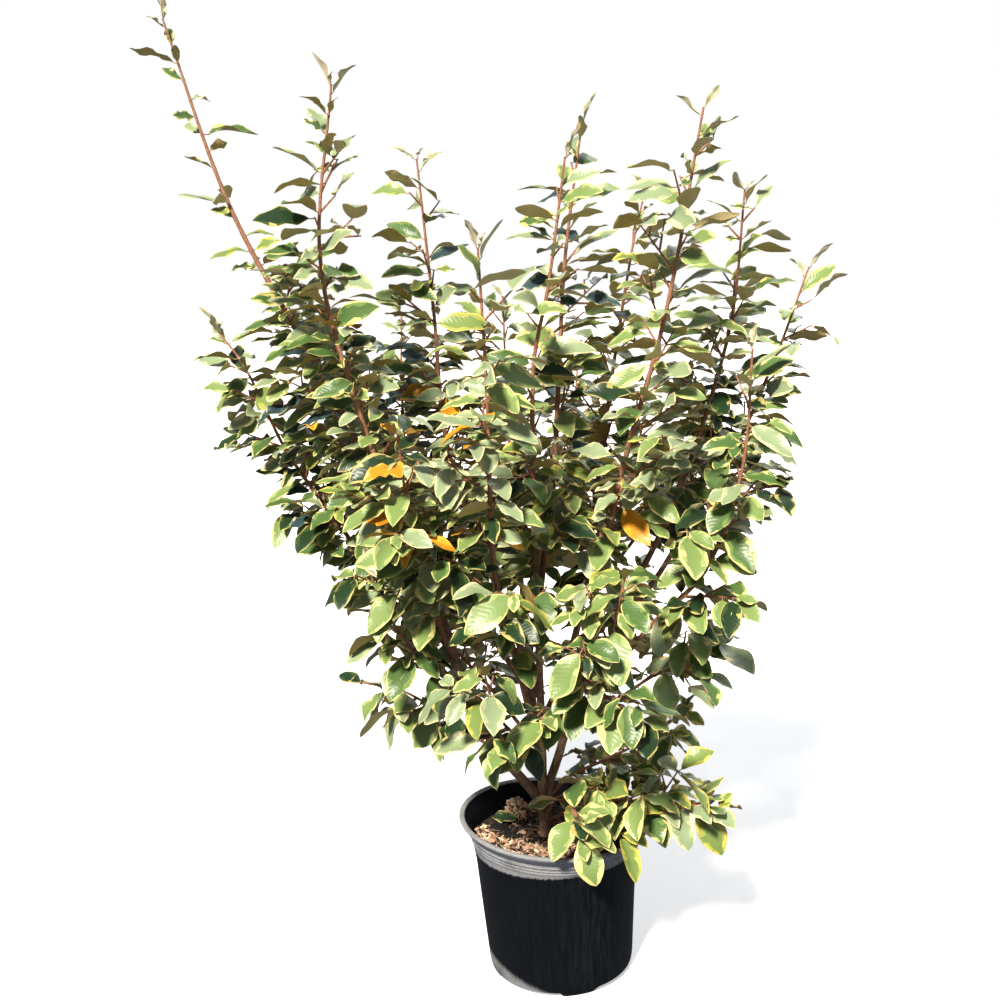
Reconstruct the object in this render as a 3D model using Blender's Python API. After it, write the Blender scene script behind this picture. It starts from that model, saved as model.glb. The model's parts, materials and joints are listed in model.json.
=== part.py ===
"""Solids of a potted elaeagnus: nursery pot, compost, trunk, boughs and leafy masses.

Metres, +Z up. The origin is the middle of the pot's flat underside, +X is the
plant's right as seen from the front and +Y points to its back. Each limb is one
curve from where it springs to its tip: its lower part is a bare bough, and its
upper part is the stem of a mass of twigs and leaves. Runs in Blender 4.5.
"""
import math
import random
from collections import defaultdict
from typing import NamedTuple

import bmesh
import bpy
from mathutils import Matrix, Vector
from mathutils.bvhtree import BVHTree

UP = Vector((0, 0, 1))

# Pot
RIM_RADIUS = 0.160
POT_HEIGHT = 0.265
BASE_RADIUS = 0.117
HEEL_RADIUS = 0.123
HEEL_HEIGHT = 0.022
NECK_RADIUS = 0.139
LIP_HEIGHT = 0.018
POT_WALL = 0.0026
FLOOR_THICK = 0.009
GROOVE = 0.0008
RIM_DIP = math.radians(5.0)
FOOT_COUNT = 4
FOOT_WIDTH = 0.006
FOOT_INNER_RADIUS = 0.080
FOOT_GAP_FROM = 205.0
FOOT_GAP_ARC = 63.0
FOOT_GAP_HEIGHT = 0.009
FOOT_GAP_INNER_HEIGHT = 0.004
POT_SIDES = 28

# Compost
SOIL_LEVEL = 0.235
SOIL_LUMP = 0.005
SOIL_PATCH = 0.030
SOIL_CLEARANCE = 0.0028
SOIL_SIDES = 20

# Trunk and boughs
GAP = 0.0003
CUT_GAP = GAP * 1.1
TRUNK_FOOT = Vector((-0.010, 0.000, SOIL_LEVEL))
TRUNK_TOP = Vector((-0.016, 0.000, 0.302))
FLARE_RADIUS = 0.0185
FLARE_FADE = 0.010
TRUNK_RADIUS = 0.0125
TRUNK_TOP_RADIUS = 0.0110
TRUNK_STATIONS = (0.0, 0.006, 0.014, 0.028, 0.048)
TRUNK_SIDES = 10
BOUGH_SIDES = 7
SIDE_BOUGH_SIDES = 5
BOUGH_STEP = 0.065
PATH_STEP = 0.012
TIP_RADIUS = 0.0015
TAPER = 0.0056

# Stems and side twigs of a mass
STEM_STEP = 0.085
NODE_STEP = 0.0275
FIRST_NODE = 0.018
GOLDEN_TURN = math.radians(137.5)
TWIG_ANGLE = math.radians(52)
TWIG_RISE = 0.15
TWIG_RADIUS = 0.0016
TWIG_SHORTEST = 0.035
LOW_CROWN = 0.85

# Leaves, fewer and a little larger than life
LEAF_LENGTH = 0.092
LEAF_WIDTH = 0.049
LEAF_KEEL = 0.0035
LEAF_BROADEST = 0.42
LEAF_DROOP = 0.05
TIP_LEAF_SHARE = 0.62
LEAF_EVERY = 2

# The space that each mass keeps to
REACH = 0.20
SPACE_ALLOWANCE = 0.045
CELL = 0.10
GUARD = 0.0010
ROOT_CLEAR = 0.010
SEED = "elaeagnus"

# Red, green, blue and roughness
FINISHES = {
    "pot": (0.020, 0.022, 0.026, 0.55),
    "compost": (0.060, 0.038, 0.026, 0.95),
    "bark": (0.150, 0.085, 0.050, 0.85),
    "leaf": (0.110, 0.200, 0.060, 0.60),
}


class Limb(NamedTuple):
    """A limb in metres: its foot's distance along its parent, bare length, twigs, way."""

    name: str
    parent: str
    springs: float
    bare: float
    twig: float
    way: tuple


# Twig is the longest side twig, and the last way point is the limb's tip.
LIMBS = (
    Limb("centre", "trunk", 0.067, 0.38, 0.11,
         ((-0.012, 0.000, 0.42), (-0.006, -0.010, 0.71), (0.006, -0.030, 1.02),
          (0.036, -0.045, 1.15), (0.070, -0.050, 1.335))),
    Limb("left", "trunk", 0.050, 0.37, 0.13,
         ((-0.099, -0.010, 0.414), (-0.174, -0.060, 0.646), (-0.257, -0.090, 0.957),
          (-0.300, -0.100, 1.20), (-0.263, -0.100, 1.450))),
    Limb("front", "trunk", 0.037, 0.34, 0.12,
         ((-0.022, -0.060, 0.42), (-0.044, -0.120, 0.56), (-0.072, -0.190, 0.74),
          (-0.067, -0.245, 1.00), (-0.067, -0.260, 1.205))),
    Limb("right", "trunk", 0.061, 0.36, 0.15,
         ((0.020, -0.020, 0.40), (0.070, -0.045, 0.60), (0.132, -0.080, 0.86),
          (0.204, -0.110, 1.10), (0.266, -0.120, 1.385))),
    Limb("back", "trunk", 0.044, 0.35, 0.15,
         ((-0.020, 0.060, 0.40), (-0.030, 0.170, 0.66), (-0.035, 0.270, 0.90),
          (-0.030, 0.340, 1.13))),
    Limb("rim_right", "trunk", 0.020, 0.06, 0.10,
         ((0.030, -0.030, 0.285), (0.095, -0.075, 0.318), (0.185, -0.090, 0.315),
          (0.265, -0.090, 0.302))),
    Limb("rim_front", "trunk", 0.028, 0.06, 0.08,
         ((0.004, -0.045, 0.315), (0.022, -0.110, 0.345), (0.034, -0.190, 0.335))),
    Limb("droop_right", "trunk", 0.052, 0.06, 0.09,
         ((0.030, 0.030, 0.318), (0.104, 0.055, 0.338), (0.180, 0.080, 0.362),
          (0.245, 0.100, 0.400))),
    Limb("centre_right", "centre", 0.317, 0.11, 0.11,
         ((0.030, 0.022, 0.836), (0.050, 0.040, 1.012), (0.068, 0.050, 1.18),
          (0.106, 0.050, 1.395))),
    Limb("left_middle", "centre", 0.176, 0.28, 0.12,
         ((-0.075, 0.060, 0.66), (-0.140, 0.100, 0.885), (-0.150, 0.140, 1.12),
          (-0.161, 0.150, 1.365))),
    Limb("back_right", "centre", 0.110, 0.34, 0.13,
         ((0.060, 0.090, 0.56), (0.123, 0.190, 0.836), (0.165, 0.245, 1.03),
          (0.209, 0.280, 1.22), (0.230, 0.280, 1.295))),
    Limb("far_left", "left", 0.254, 0.30, 0.13,
         ((-0.175, -0.010, 0.66), (-0.243, 0.000, 0.824), (-0.317, 0.010, 1.005),
          (-0.450, 0.040, 1.290), (-0.530, 0.050, 1.585))),
    Limb("low_left", "left", 0.178, 0.27, 0.11,
         ((-0.210, 0.000, 0.60), (-0.317, 0.030, 0.771), (-0.401, 0.050, 0.904),
          (-0.456, 0.050, 1.045), (-0.495, 0.060, 1.105))),
    Limb("left_lobe", "left", 0.211, 0.11, 0.10,
         ((-0.185, -0.080, 0.56), (-0.235, -0.130, 0.66), (-0.265, -0.150, 0.760))),
    Limb("left_front", "left", 0.320, 0.12, 0.14,
         ((-0.170, -0.150, 0.70), (-0.190, -0.215, 0.85), (-0.195, -0.240, 0.96))),
    Limb("droop_left", "left", 0.118, 0.08, 0.08,
         ((-0.155, -0.030, 0.452), (-0.235, -0.040, 0.515), (-0.300, -0.045, 0.535))),
    Limb("front_low", "front", 0.112, 0.09, 0.12,
         ((-0.060, -0.140, 0.47), (-0.085, -0.200, 0.53), (-0.095, -0.240, 0.60))),
    Limb("front_right", "front", 0.176, 0.11, 0.13,
         ((0.030, -0.150, 0.53), (0.085, -0.205, 0.62), (0.115, -0.225, 0.73))),
    Limb("right_side", "right", 0.296, 0.24, 0.14,
         ((0.150, -0.005, 0.66), (0.233, 0.060, 0.783), (0.298, 0.070, 0.945),
          (0.341, 0.080, 1.087), (0.365, 0.080, 1.280))),
    Limb("right_front", "right", 0.205, 0.20, 0.11,
         ((0.110, -0.050, 0.540), (0.173, -0.060, 0.608), (0.255, -0.090, 0.70),
          (0.308, -0.125, 0.86), (0.322, -0.150, 1.040))),
    Limb("right_low", "right", 0.148, 0.12, 0.12,
         ((0.090, 0.000, 0.450), (0.160, 0.000, 0.490), (0.220, -0.010, 0.535),
          (0.255, -0.020, 0.605))),
    Limb("far_right", "back_right", 0.165, 0.27, 0.11,
         ((0.170, 0.110, 0.60), (0.270, 0.110, 0.74), (0.345, 0.115, 0.853),
          (0.430, 0.138, 1.02), (0.485, 0.150, 1.150))),
    Limb("back_right_low", "back_right", 0.235, 0.15, 0.15,
         ((0.190, 0.210, 0.70), (0.280, 0.290, 0.80), (0.330, 0.330, 0.92))),
    Limb("back_left", "back", 0.185, 0.24, 0.14,
         ((-0.120, 0.160, 0.60), (-0.215, 0.240, 0.794), (-0.226, 0.300, 0.954),
          (-0.217, 0.320, 1.110))),
    Limb("back_middle", "back", 0.255, 0.18, 0.15,
         ((0.030, 0.240, 0.70), (0.085, 0.360, 0.86), (0.110, 0.410, 1.02))),
    Limb("back_low_left", "back", 0.100, 0.13, 0.14,
         ((-0.100, 0.150, 0.45), (-0.190, 0.240, 0.54), (-0.225, 0.280, 0.640))),
    Limb("back_low_right", "back", 0.131, 0.13, 0.14,
         ((0.060, 0.190, 0.48), (0.150, 0.270, 0.54), (0.200, 0.300, 0.620))),
    Limb("back_far_left", "low_left", 0.149, 0.14, 0.15,
         ((-0.240, 0.100, 0.68), (-0.310, 0.180, 0.87), (-0.365, 0.210, 1.13))),
)

# The long far left shoot is thinly leaved above this height, with no side twigs.
SPARSE_ABOVE = {"far_left": 1.14}


# Scene and objects


def clear_scene():
    """Remove every object that the opened file holds."""
    for thing in list(bpy.data.objects):
        bpy.data.objects.remove(thing, do_unlink=True)


def paint(name, finish):
    """Make a Principled material for one sub-part."""
    red, green, blue, rough = FINISHES[finish]
    material = bpy.data.materials.new(name + "_finish")
    material.use_nodes = True
    shader = material.node_tree.nodes["Principled BSDF"]
    shader.inputs["Base Color"].default_value = (red, green, blue, 1.0)
    shader.inputs["Roughness"].default_value = rough
    shader.inputs["Metallic"].default_value = 0.0
    return material


def add_object(name, verts, faces):
    """Link a new mesh object made of the given points and faces."""
    mesh = bpy.data.meshes.new(name)
    mesh.from_pydata([tuple(v) for v in verts], [], faces)
    mesh.update()
    thing = bpy.data.objects.new(name, mesh)
    bpy.context.scene.collection.objects.link(thing)
    return thing


def add_cutter(name, verts, faces):
    """A hidden wire object that cuts its neighbours clear of a limb."""
    cutter = add_object(name, verts, faces)
    cutter.hide_render = True
    cutter.display_type = "WIRE"
    return cutter


def seat(thing, origin, whole, finish, smooth=False):
    """Give a finished solid its origin, parent and material."""
    thing.data.transform(Matrix.Translation(-origin))
    thing.location = origin
    thing.parent = whole
    thing.data.materials.append(paint(thing.name, finish))
    if smooth:
        thing.data.shade_smooth()
        thing.data.set_sharp_from_angle(angle=math.radians(40))


def search_tree(thing):
    """Search tree of an unmoved object's faces."""
    mesh = thing.data
    return BVHTree.FromPolygons([v.co for v in mesh.vertices],
                                [tuple(p.vertices) for p in mesh.polygons])


def apply_boolean(target, operation, solver, tool=None, group=None):
    """Apply one Boolean to target, with an object or a whole collection as operand."""
    bpy.context.view_layer.objects.active = target
    change = target.modifiers.new("change", "BOOLEAN")
    change.operation = operation
    change.solver = solver
    if group:
        change.operand_type = "COLLECTION"
        change.collection = group
    else:
        change.object = tool
    bpy.ops.object.modifier_apply(modifier=change.name)


def shells_of(work):
    """Groups of joined points in a bmesh, the largest last."""
    left = set(work.verts)
    shells = []
    while left:
        front = [left.pop()]
        shell = set(front)
        while front:
            near = {v for edge in front.pop().link_edges for v in edge.verts} & left
            left -= near
            shell |= near
            front.extend(near)
        shells.append(shell)
    return sorted(shells, key=len)


def keep_largest_shell(thing):
    """Drop loose scraps and sealed hollows, and say if the one shell left is closed."""
    work = bmesh.new()
    work.from_mesh(thing.data)
    for shell in shells_of(work)[:-1]:
        bmesh.ops.delete(work, geom=list(shell), context="VERTS")
    closed = all(edge.is_manifold for edge in work.edges)
    work.to_mesh(thing.data)
    work.free()
    thing.data.update()
    return closed


def fuse(name, bodies, solver):
    """Join a list of overlapping bodies into one object with a single union."""
    whole = add_object(name, *bodies[0])
    group = bpy.data.collections.new(name + "_bodies")
    bpy.context.scene.collection.children.link(group)
    for body in bodies[1:]:
        piece = add_object("body", *body)
        bpy.context.scene.collection.objects.unlink(piece)
        group.objects.link(piece)
    apply_boolean(whole, "UNION", solver, group=group)
    for piece in list(group.objects):
        bpy.data.objects.remove(piece, do_unlink=True)
    bpy.data.collections.remove(group)
    return whole


# Curves and tubes


class Line:
    """A run of straight steps, looked up by distance along it."""

    def __init__(self, points):
        self.points = points
        self.marks = [0.0]
        for a, b in zip(points, points[1:]):
            self.marks.append(self.marks[-1] + (b - a).length)
        self.length = self.marks[-1]

    def at(self, distance):
        """Point and unit direction at a distance from the start."""
        distance = min(max(distance, 0.0), self.length)
        i = 0
        while i < len(self.marks) - 2 and self.marks[i + 1] < distance:
            i += 1
        a, b = self.points[i], self.points[i + 1]
        span = self.marks[i + 1] - self.marks[i]
        return a.lerp(b, (distance - self.marks[i]) / span), (b - a).normalized()


def hermite(a, b, slope_a, slope_b, t):
    """Cubic between a and b with the given slopes."""
    t2 = t * t
    t3 = t2 * t
    return (a * (2 * t3 - 3 * t2 + 1) + slope_a * (t3 - 2 * t2 + t)
            + b * (3 * t2 - 2 * t3) + slope_b * (t3 - t2))


def smooth_line(points):
    """A smooth curve through a few way points, as a run of short steps."""
    knots = [Vector(p) for p in points]
    slopes = []
    for i in range(len(knots)):
        before = knots[max(0, i - 1)]
        after = knots[min(len(knots) - 1, i + 1)]
        slopes.append((after - before).normalized())
    curve = [knots[0]]
    for i in range(len(knots) - 1):
        chord = (knots[i + 1] - knots[i]).length
        count = max(2, round(chord / PATH_STEP))
        for k in range(1, count + 1):
            curve.append(hermite(knots[i], knots[i + 1], slopes[i] * chord,
                                 slopes[i + 1] * chord, k / count))
    return Line(curve)


def across(direction):
    """A unit vector square to direction, level where that is possible."""
    side = direction.cross(UP)
    if side.length < 0.05:
        side = direction.cross(Vector((0, 1, 0)))
    return side.normalized()


def spaced(start, end, step):
    """Evenly spaced distances from start to end, about one step apart."""
    count = max(1, round((end - start) / step))
    return [start + (end - start) * k / count for k in range(count + 1)]


def ring_faces(rings, sides):
    """Faces of a closed tube of rings, with a flat cap at both ends."""
    faces = []
    for i in range(rings - 1):
        for k in range(sides):
            n = (k + 1) % sides
            a = i * sides
            b = a + sides
            faces.append((a + k, a + n, b + n, b + k))
    last = (rings - 1) * sides
    faces.append(tuple(reversed(range(sides))))
    faces.append(tuple(last + k for k in range(sides)))
    return faces


def tube_mesh(path, stations, radius_at, sides, grow=0.0, first_ahead=None):
    """Closed tube along path with a ring at each station, grown all over for a cutter."""
    verts = []
    side = across(path.at(stations[0])[1])
    for distance in stations:
        centre, ahead = path.at(distance)
        if first_ahead and distance == stations[0]:
            ahead = first_ahead
        side = (side - ahead * side.dot(ahead)).normalized()
        up = ahead.cross(side)
        radius = radius_at(distance) + grow
        if distance == stations[0]:
            centre = centre - ahead * grow
        if distance == stations[-1]:
            centre = centre + ahead * grow
        for k in range(sides):
            angle = 2 * math.pi * k / sides
            verts.append(centre + (side * math.cos(angle) + up * math.sin(angle)) * radius)
    return verts, ring_faces(len(stations), sides)


# Pot and compost


def spin_profile(name, profile, sides, reshape):
    """Turn a profile round the upright axis, close both ends and reshape its points."""
    work = bmesh.new()
    row = [work.verts.new((radius, 0.0, height)) for radius, height in profile]
    lines = [work.edges.new(pair) for pair in zip(row, row[1:])]
    bmesh.ops.spin(work, geom=row + lines, cent=(0, 0, 0), axis=(0, 0, 1),
                   angle=2 * math.pi, steps=sides, use_merge=True)
    bmesh.ops.holes_fill(work, edges=work.edges)
    for vert in work.verts:
        vert.co = reshape(vert.co.copy())
    bmesh.ops.recalc_face_normals(work, faces=work.faces)
    mesh = bpy.data.meshes.new(name)
    work.to_mesh(mesh)
    work.free()
    thing = bpy.data.objects.new(name, mesh)
    bpy.context.scene.collection.objects.link(thing)
    return thing


def wall_radius(height):
    """Outer radius of the pot's side wall at a height."""
    neck = POT_HEIGHT - LIP_HEIGHT
    share = min(max((height - HEEL_HEIGHT) / (neck - HEEL_HEIGHT), 0.0), 1.0)
    return HEEL_RADIUS + (NECK_RADIUS - HEEL_RADIUS) * share


def shape_pot(point):
    """Raise the base between the feet, and let the soft rim dip towards +X."""
    turn = (math.degrees(math.atan2(point.y, point.x)) - FOOT_GAP_FROM) % (360 / FOOT_COUNT)
    radius = math.hypot(point.x, point.y)
    base_ring = FOOT_INNER_RADIUS + FOOT_WIDTH < radius and point.z < FOOT_GAP_INNER_HEIGHT
    if turn < FOOT_GAP_ARC and base_ring:
        outer = radius > BASE_RADIUS - FOOT_WIDTH / 2
        point.z = FOOT_GAP_HEIGHT if outer else FOOT_GAP_INNER_HEIGHT
    point.z -= point.x * math.tan(RIM_DIP) * (point.z / POT_HEIGHT) ** 2
    return point


def build_pot():
    """The nursery pot: a flat base on feet, a tapered wall and a broad stacking lip."""
    neck = POT_HEIGHT - LIP_HEIGHT
    groove_at = neck - 0.018
    outside = [
        (FOOT_INNER_RADIUS, 0.0), (BASE_RADIUS - FOOT_WIDTH, 0.0), (BASE_RADIUS, 0.003),
        (BASE_RADIUS + 0.004, 0.010), (HEEL_RADIUS, HEEL_HEIGHT),
        (wall_radius(0.12), 0.12), (wall_radius(groove_at), groove_at - 0.004),
        (wall_radius(groove_at) + GROOVE, groove_at), (wall_radius(groove_at), groove_at + 0.004),
        (NECK_RADIUS, neck - 0.004), (RIM_RADIUS - 0.003, neck + 0.002),
        (RIM_RADIUS, POT_HEIGHT - 0.002), (RIM_RADIUS - 0.0013, POT_HEIGHT),
    ]
    inside = [
        (RIM_RADIUS - 0.003, POT_HEIGHT - 0.002), (RIM_RADIUS - 0.006, neck + 0.005),
        (NECK_RADIUS - POT_WALL, neck + 0.001), (wall_radius(0.12) - POT_WALL, 0.12),
        (HEEL_RADIUS - POT_WALL, HEEL_HEIGHT + 0.002),
        (BASE_RADIUS - 0.004, FLOOR_THICK + 0.002), (BASE_RADIUS - 0.012, FLOOR_THICK),
    ]
    return spin_profile("pot", outside + inside, POT_SIDES, shape_pot)


def build_compost():
    """Compost that fills the pot to the soil level, with a lumpy top."""
    chance = random.Random(SEED + "compost")
    inner = POT_WALL + SOIL_CLEARANCE
    low = FLOOR_THICK + GAP
    wall = wall_radius(SOIL_LEVEL) - inner
    profile = [
        (BASE_RADIUS - 0.014, low), (BASE_RADIUS - 0.006, low + 0.006),
        (HEEL_RADIUS - inner, HEEL_HEIGHT + 0.008), (wall_radius(0.12) - inner, 0.12),
        (wall, SOIL_LEVEL - 0.010), (wall - 0.007, SOIL_LEVEL - 0.003),
        (0.108, SOIL_LEVEL), (0.082, SOIL_LEVEL + 0.001), (0.056, SOIL_LEVEL),
        (SOIL_PATCH, SOIL_LEVEL - GAP),
    ]

    def lump(point):
        """Raise or lower a point of the open top, and centre the patch on the trunk."""
        radius = math.hypot(point.x, point.y)
        if point.z > SOIL_LEVEL - 0.004 and radius > SOIL_PATCH + 0.01:
            point.z += chance.uniform(-SOIL_LUMP, SOIL_LUMP)
        if point.z > SOIL_LEVEL - 0.020:
            point.x += TRUNK_FOOT.x * max(0.0, 1.0 - radius / 0.10)
        return point

    return spin_profile("compost", profile, SOIL_SIDES, lump)


# Trunk and boughs


def trunk_radius(distance):
    """Radius of the trunk: flared at the soil, then tapering to the fork."""
    share = distance / (TRUNK_TOP - TRUNK_FOOT).length
    flare = (FLARE_RADIUS - TRUNK_RADIUS) * math.exp(-distance / FLARE_FADE)
    return TRUNK_RADIUS + (TRUNK_TOP_RADIUS - TRUNK_RADIUS) * share + flare


def limb_paths():
    """Curve of the trunk and of each limb, from its parent's axis to its own tip."""
    paths = {"trunk": smooth_line((TRUNK_FOOT, TRUNK_FOOT.lerp(TRUNK_TOP, 0.5), TRUNK_TOP))}
    for limb in LIMBS:
        foot = paths[limb.parent].at(limb.springs)[0]
        paths[limb.name] = smooth_line((foot,) + limb.way)
    return paths


def build_trunk(path):
    """Trunk from its flat cut on the compost to the fork, and the cutter round it."""
    stations = list(TRUNK_STATIONS) + [path.length]
    verts, faces = tube_mesh(path, stations, trunk_radius, TRUNK_SIDES)
    for vert in verts[:TRUNK_SIDES]:
        vert.z = SOIL_LEVEL
    trunk = add_object("trunk", verts, faces)
    cutter = add_cutter("trunk_cutter", *tube_mesh(path, stations, trunk_radius, TRUNK_SIDES,
                                                   CUT_GAP))
    return trunk, cutter


def build_bough(limb, path, cutters):
    """One bare tapering limb, cut clear of the limbs that it springs from."""
    def radius(distance):
        return TIP_RADIUS + TAPER * (path.length - distance)

    sides = BOUGH_SIDES if limb.parent == "trunk" else SIDE_BOUGH_SIDES
    stations = spaced(0.0, limb.bare, BOUGH_STEP)
    bough = add_object("bough_" + limb.name, *tube_mesh(path, stations, radius, sides))
    tree = search_tree(bough)
    for cutter in cutters:
        if tree.overlap(search_tree(cutter)):
            apply_boolean(bough, "DIFFERENCE", "EXACT", tool=cutter)
    keep_largest_shell(bough)
    cutter = add_cutter(limb.name + "_cutter", *tube_mesh(path, stations, radius, sides,
                                                          CUT_GAP))
    return bough, cutter


# The space of each mass


class Keeper:
    """Remembers where limbs, twigs and leaves lie, and says if a new one is clear."""

    def __init__(self):
        self.cells = defaultdict(list)
        self.count = 0

    @staticmethod
    def cells_of(verts):
        """Cells that the box round some points touches."""
        low = [math.floor(min(v[i] for v in verts) / CELL) for i in range(3)]
        high = [math.floor(max(v[i] for v in verts) / CELL) for i in range(3)]
        for x in range(low[0], high[0] + 1):
            for y in range(low[1], high[1] + 1):
                for z in range(low[2], high[2] + 1):
                    yield x, y, z

    def add(self, owner, verts, faces):
        """Keep a body that later ones must stay clear of."""
        tree = BVHTree.FromPolygons([tuple(v) for v in verts], faces)
        entry = (self.count, owner, tree)
        self.count += 1
        for cell in self.cells_of(verts):
            self.cells[cell].append(entry)

    def clear(self, verts, faces, ignore=None):
        """True where a body touches nothing kept, apart from one owner to ignore."""
        tree = BVHTree.FromPolygons([tuple(v) for v in verts], faces)
        seen = set()
        for cell in self.cells_of(verts):
            for number, owner, other in self.cells[cell]:
                if number in seen or owner == ignore:
                    continue
                seen.add(number)
                if tree.overlap(other):
                    return False
        return True


class Spaces:
    """The space of each mass: in reach of its own stem and hardly nearer to another."""

    def __init__(self, paths):
        self.stems = {}
        for limb in LIMBS:
            path = paths[limb.name]
            marks = spaced(limb.bare, path.length, 0.02)
            self.stems[limb.name] = [path.at(distance)[0] for distance in marks]

    def distance(self, name, point):
        """Distance from a point to a mass's stem."""
        return min((point - p).length for p in self.stems[name])

    def holds(self, name, point):
        """True where a point lies in the space of the named mass."""
        own = self.distance(name, point)
        if own > REACH:
            return False
        limit = own - SPACE_ALLOWANCE
        if limit <= 0:
            return True
        return all(self.distance(other, point) > limit
                   for other in self.stems if other != name)


# Leaves


def leaf_mesh(root, along, face_up, length):
    """A thin keeled blade of six faces: its root in the twig, two edges, a keel, a tip."""
    side = along.cross(face_up).normalized()
    up = side.cross(along).normalized()
    half = LEAF_WIDTH * 0.5 * length / LEAF_LENGTH
    middle = root + along * (length * LEAF_BROADEST)
    tip = root + along * length - up * (length * LEAF_DROOP)
    verts = [root, tip, middle + side * half, middle - side * half, middle - up * LEAF_KEEL]
    faces = [(0, 2, 3), (1, 3, 2), (0, 3, 4), (0, 4, 2), (1, 4, 3), (1, 2, 4)]
    return verts, faces


def leaf_guard(root, along, face_up, length):
    """A thicker copy of a blade, cut off near the twig, to test that it is clear."""
    (root, tip, left, right, keel), _ = leaf_mesh(root, along, face_up, length)
    side = (left - right).normalized() * GUARD
    up = side.cross(along).normalized() * GUARD
    start = ROOT_CLEAR / (length * LEAF_BROADEST)
    verts = [root.lerp(left, start) + up, root.lerp(right, start) + up,
             root.lerp(keel, start) - up, left + side + up, right - side + up,
             left + side - up, right - side - up, keel - up, tip + along * GUARD]
    faces = [(0, 1, 4, 3), (0, 3, 5, 2), (1, 2, 6, 4), (2, 5, 7), (2, 7, 6),
             (3, 4, 8), (3, 8, 5), (4, 6, 8), (5, 8, 7), (6, 7, 8)]
    return verts, faces


def leaf_pitch(height, share, chance):
    """Slope of a leaf: low leaves hang, those of the crown lie level, tip leaves rise."""
    level = min(max((height - 0.55) / 0.60, 0.0), 1.0)
    pitch = -48 + 52 * level + 40 * max(0.0, share - 0.8) / 0.2
    return math.radians(pitch + chance.uniform(-22, 22))


def leaf_frame(spot, ahead, turn, pitch, chance):
    """Direction and upper side of a leaf that leaves a twig at a turn round it."""
    side = across(ahead)
    out = side * math.cos(turn) + ahead.cross(side) * math.sin(turn)
    outward = Vector((spot.x, spot.y, 0.0))
    if outward.length > 0.02:
        out = out + outward.normalized() * 0.45
    flat = Vector((out.x, out.y, 0.0))
    if flat.length < 0.05:
        flat = Vector((math.cos(turn), math.sin(turn), 0.0))
    flat.normalize()
    along = flat * math.cos(pitch) + UP * math.sin(pitch)
    face_up = flat.cross(UP).cross(along)
    if face_up.z < 0:
        face_up = -face_up
    roll = math.radians(chance.uniform(-42, 42))
    return along, Matrix.Rotation(roll, 3, along) @ face_up


class Node(NamedTuple):
    """A place on a stem or twig where a leaf may grow."""

    spot: Vector
    ahead: Vector
    turn: float
    share: float
    radius: float
    number: int


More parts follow.
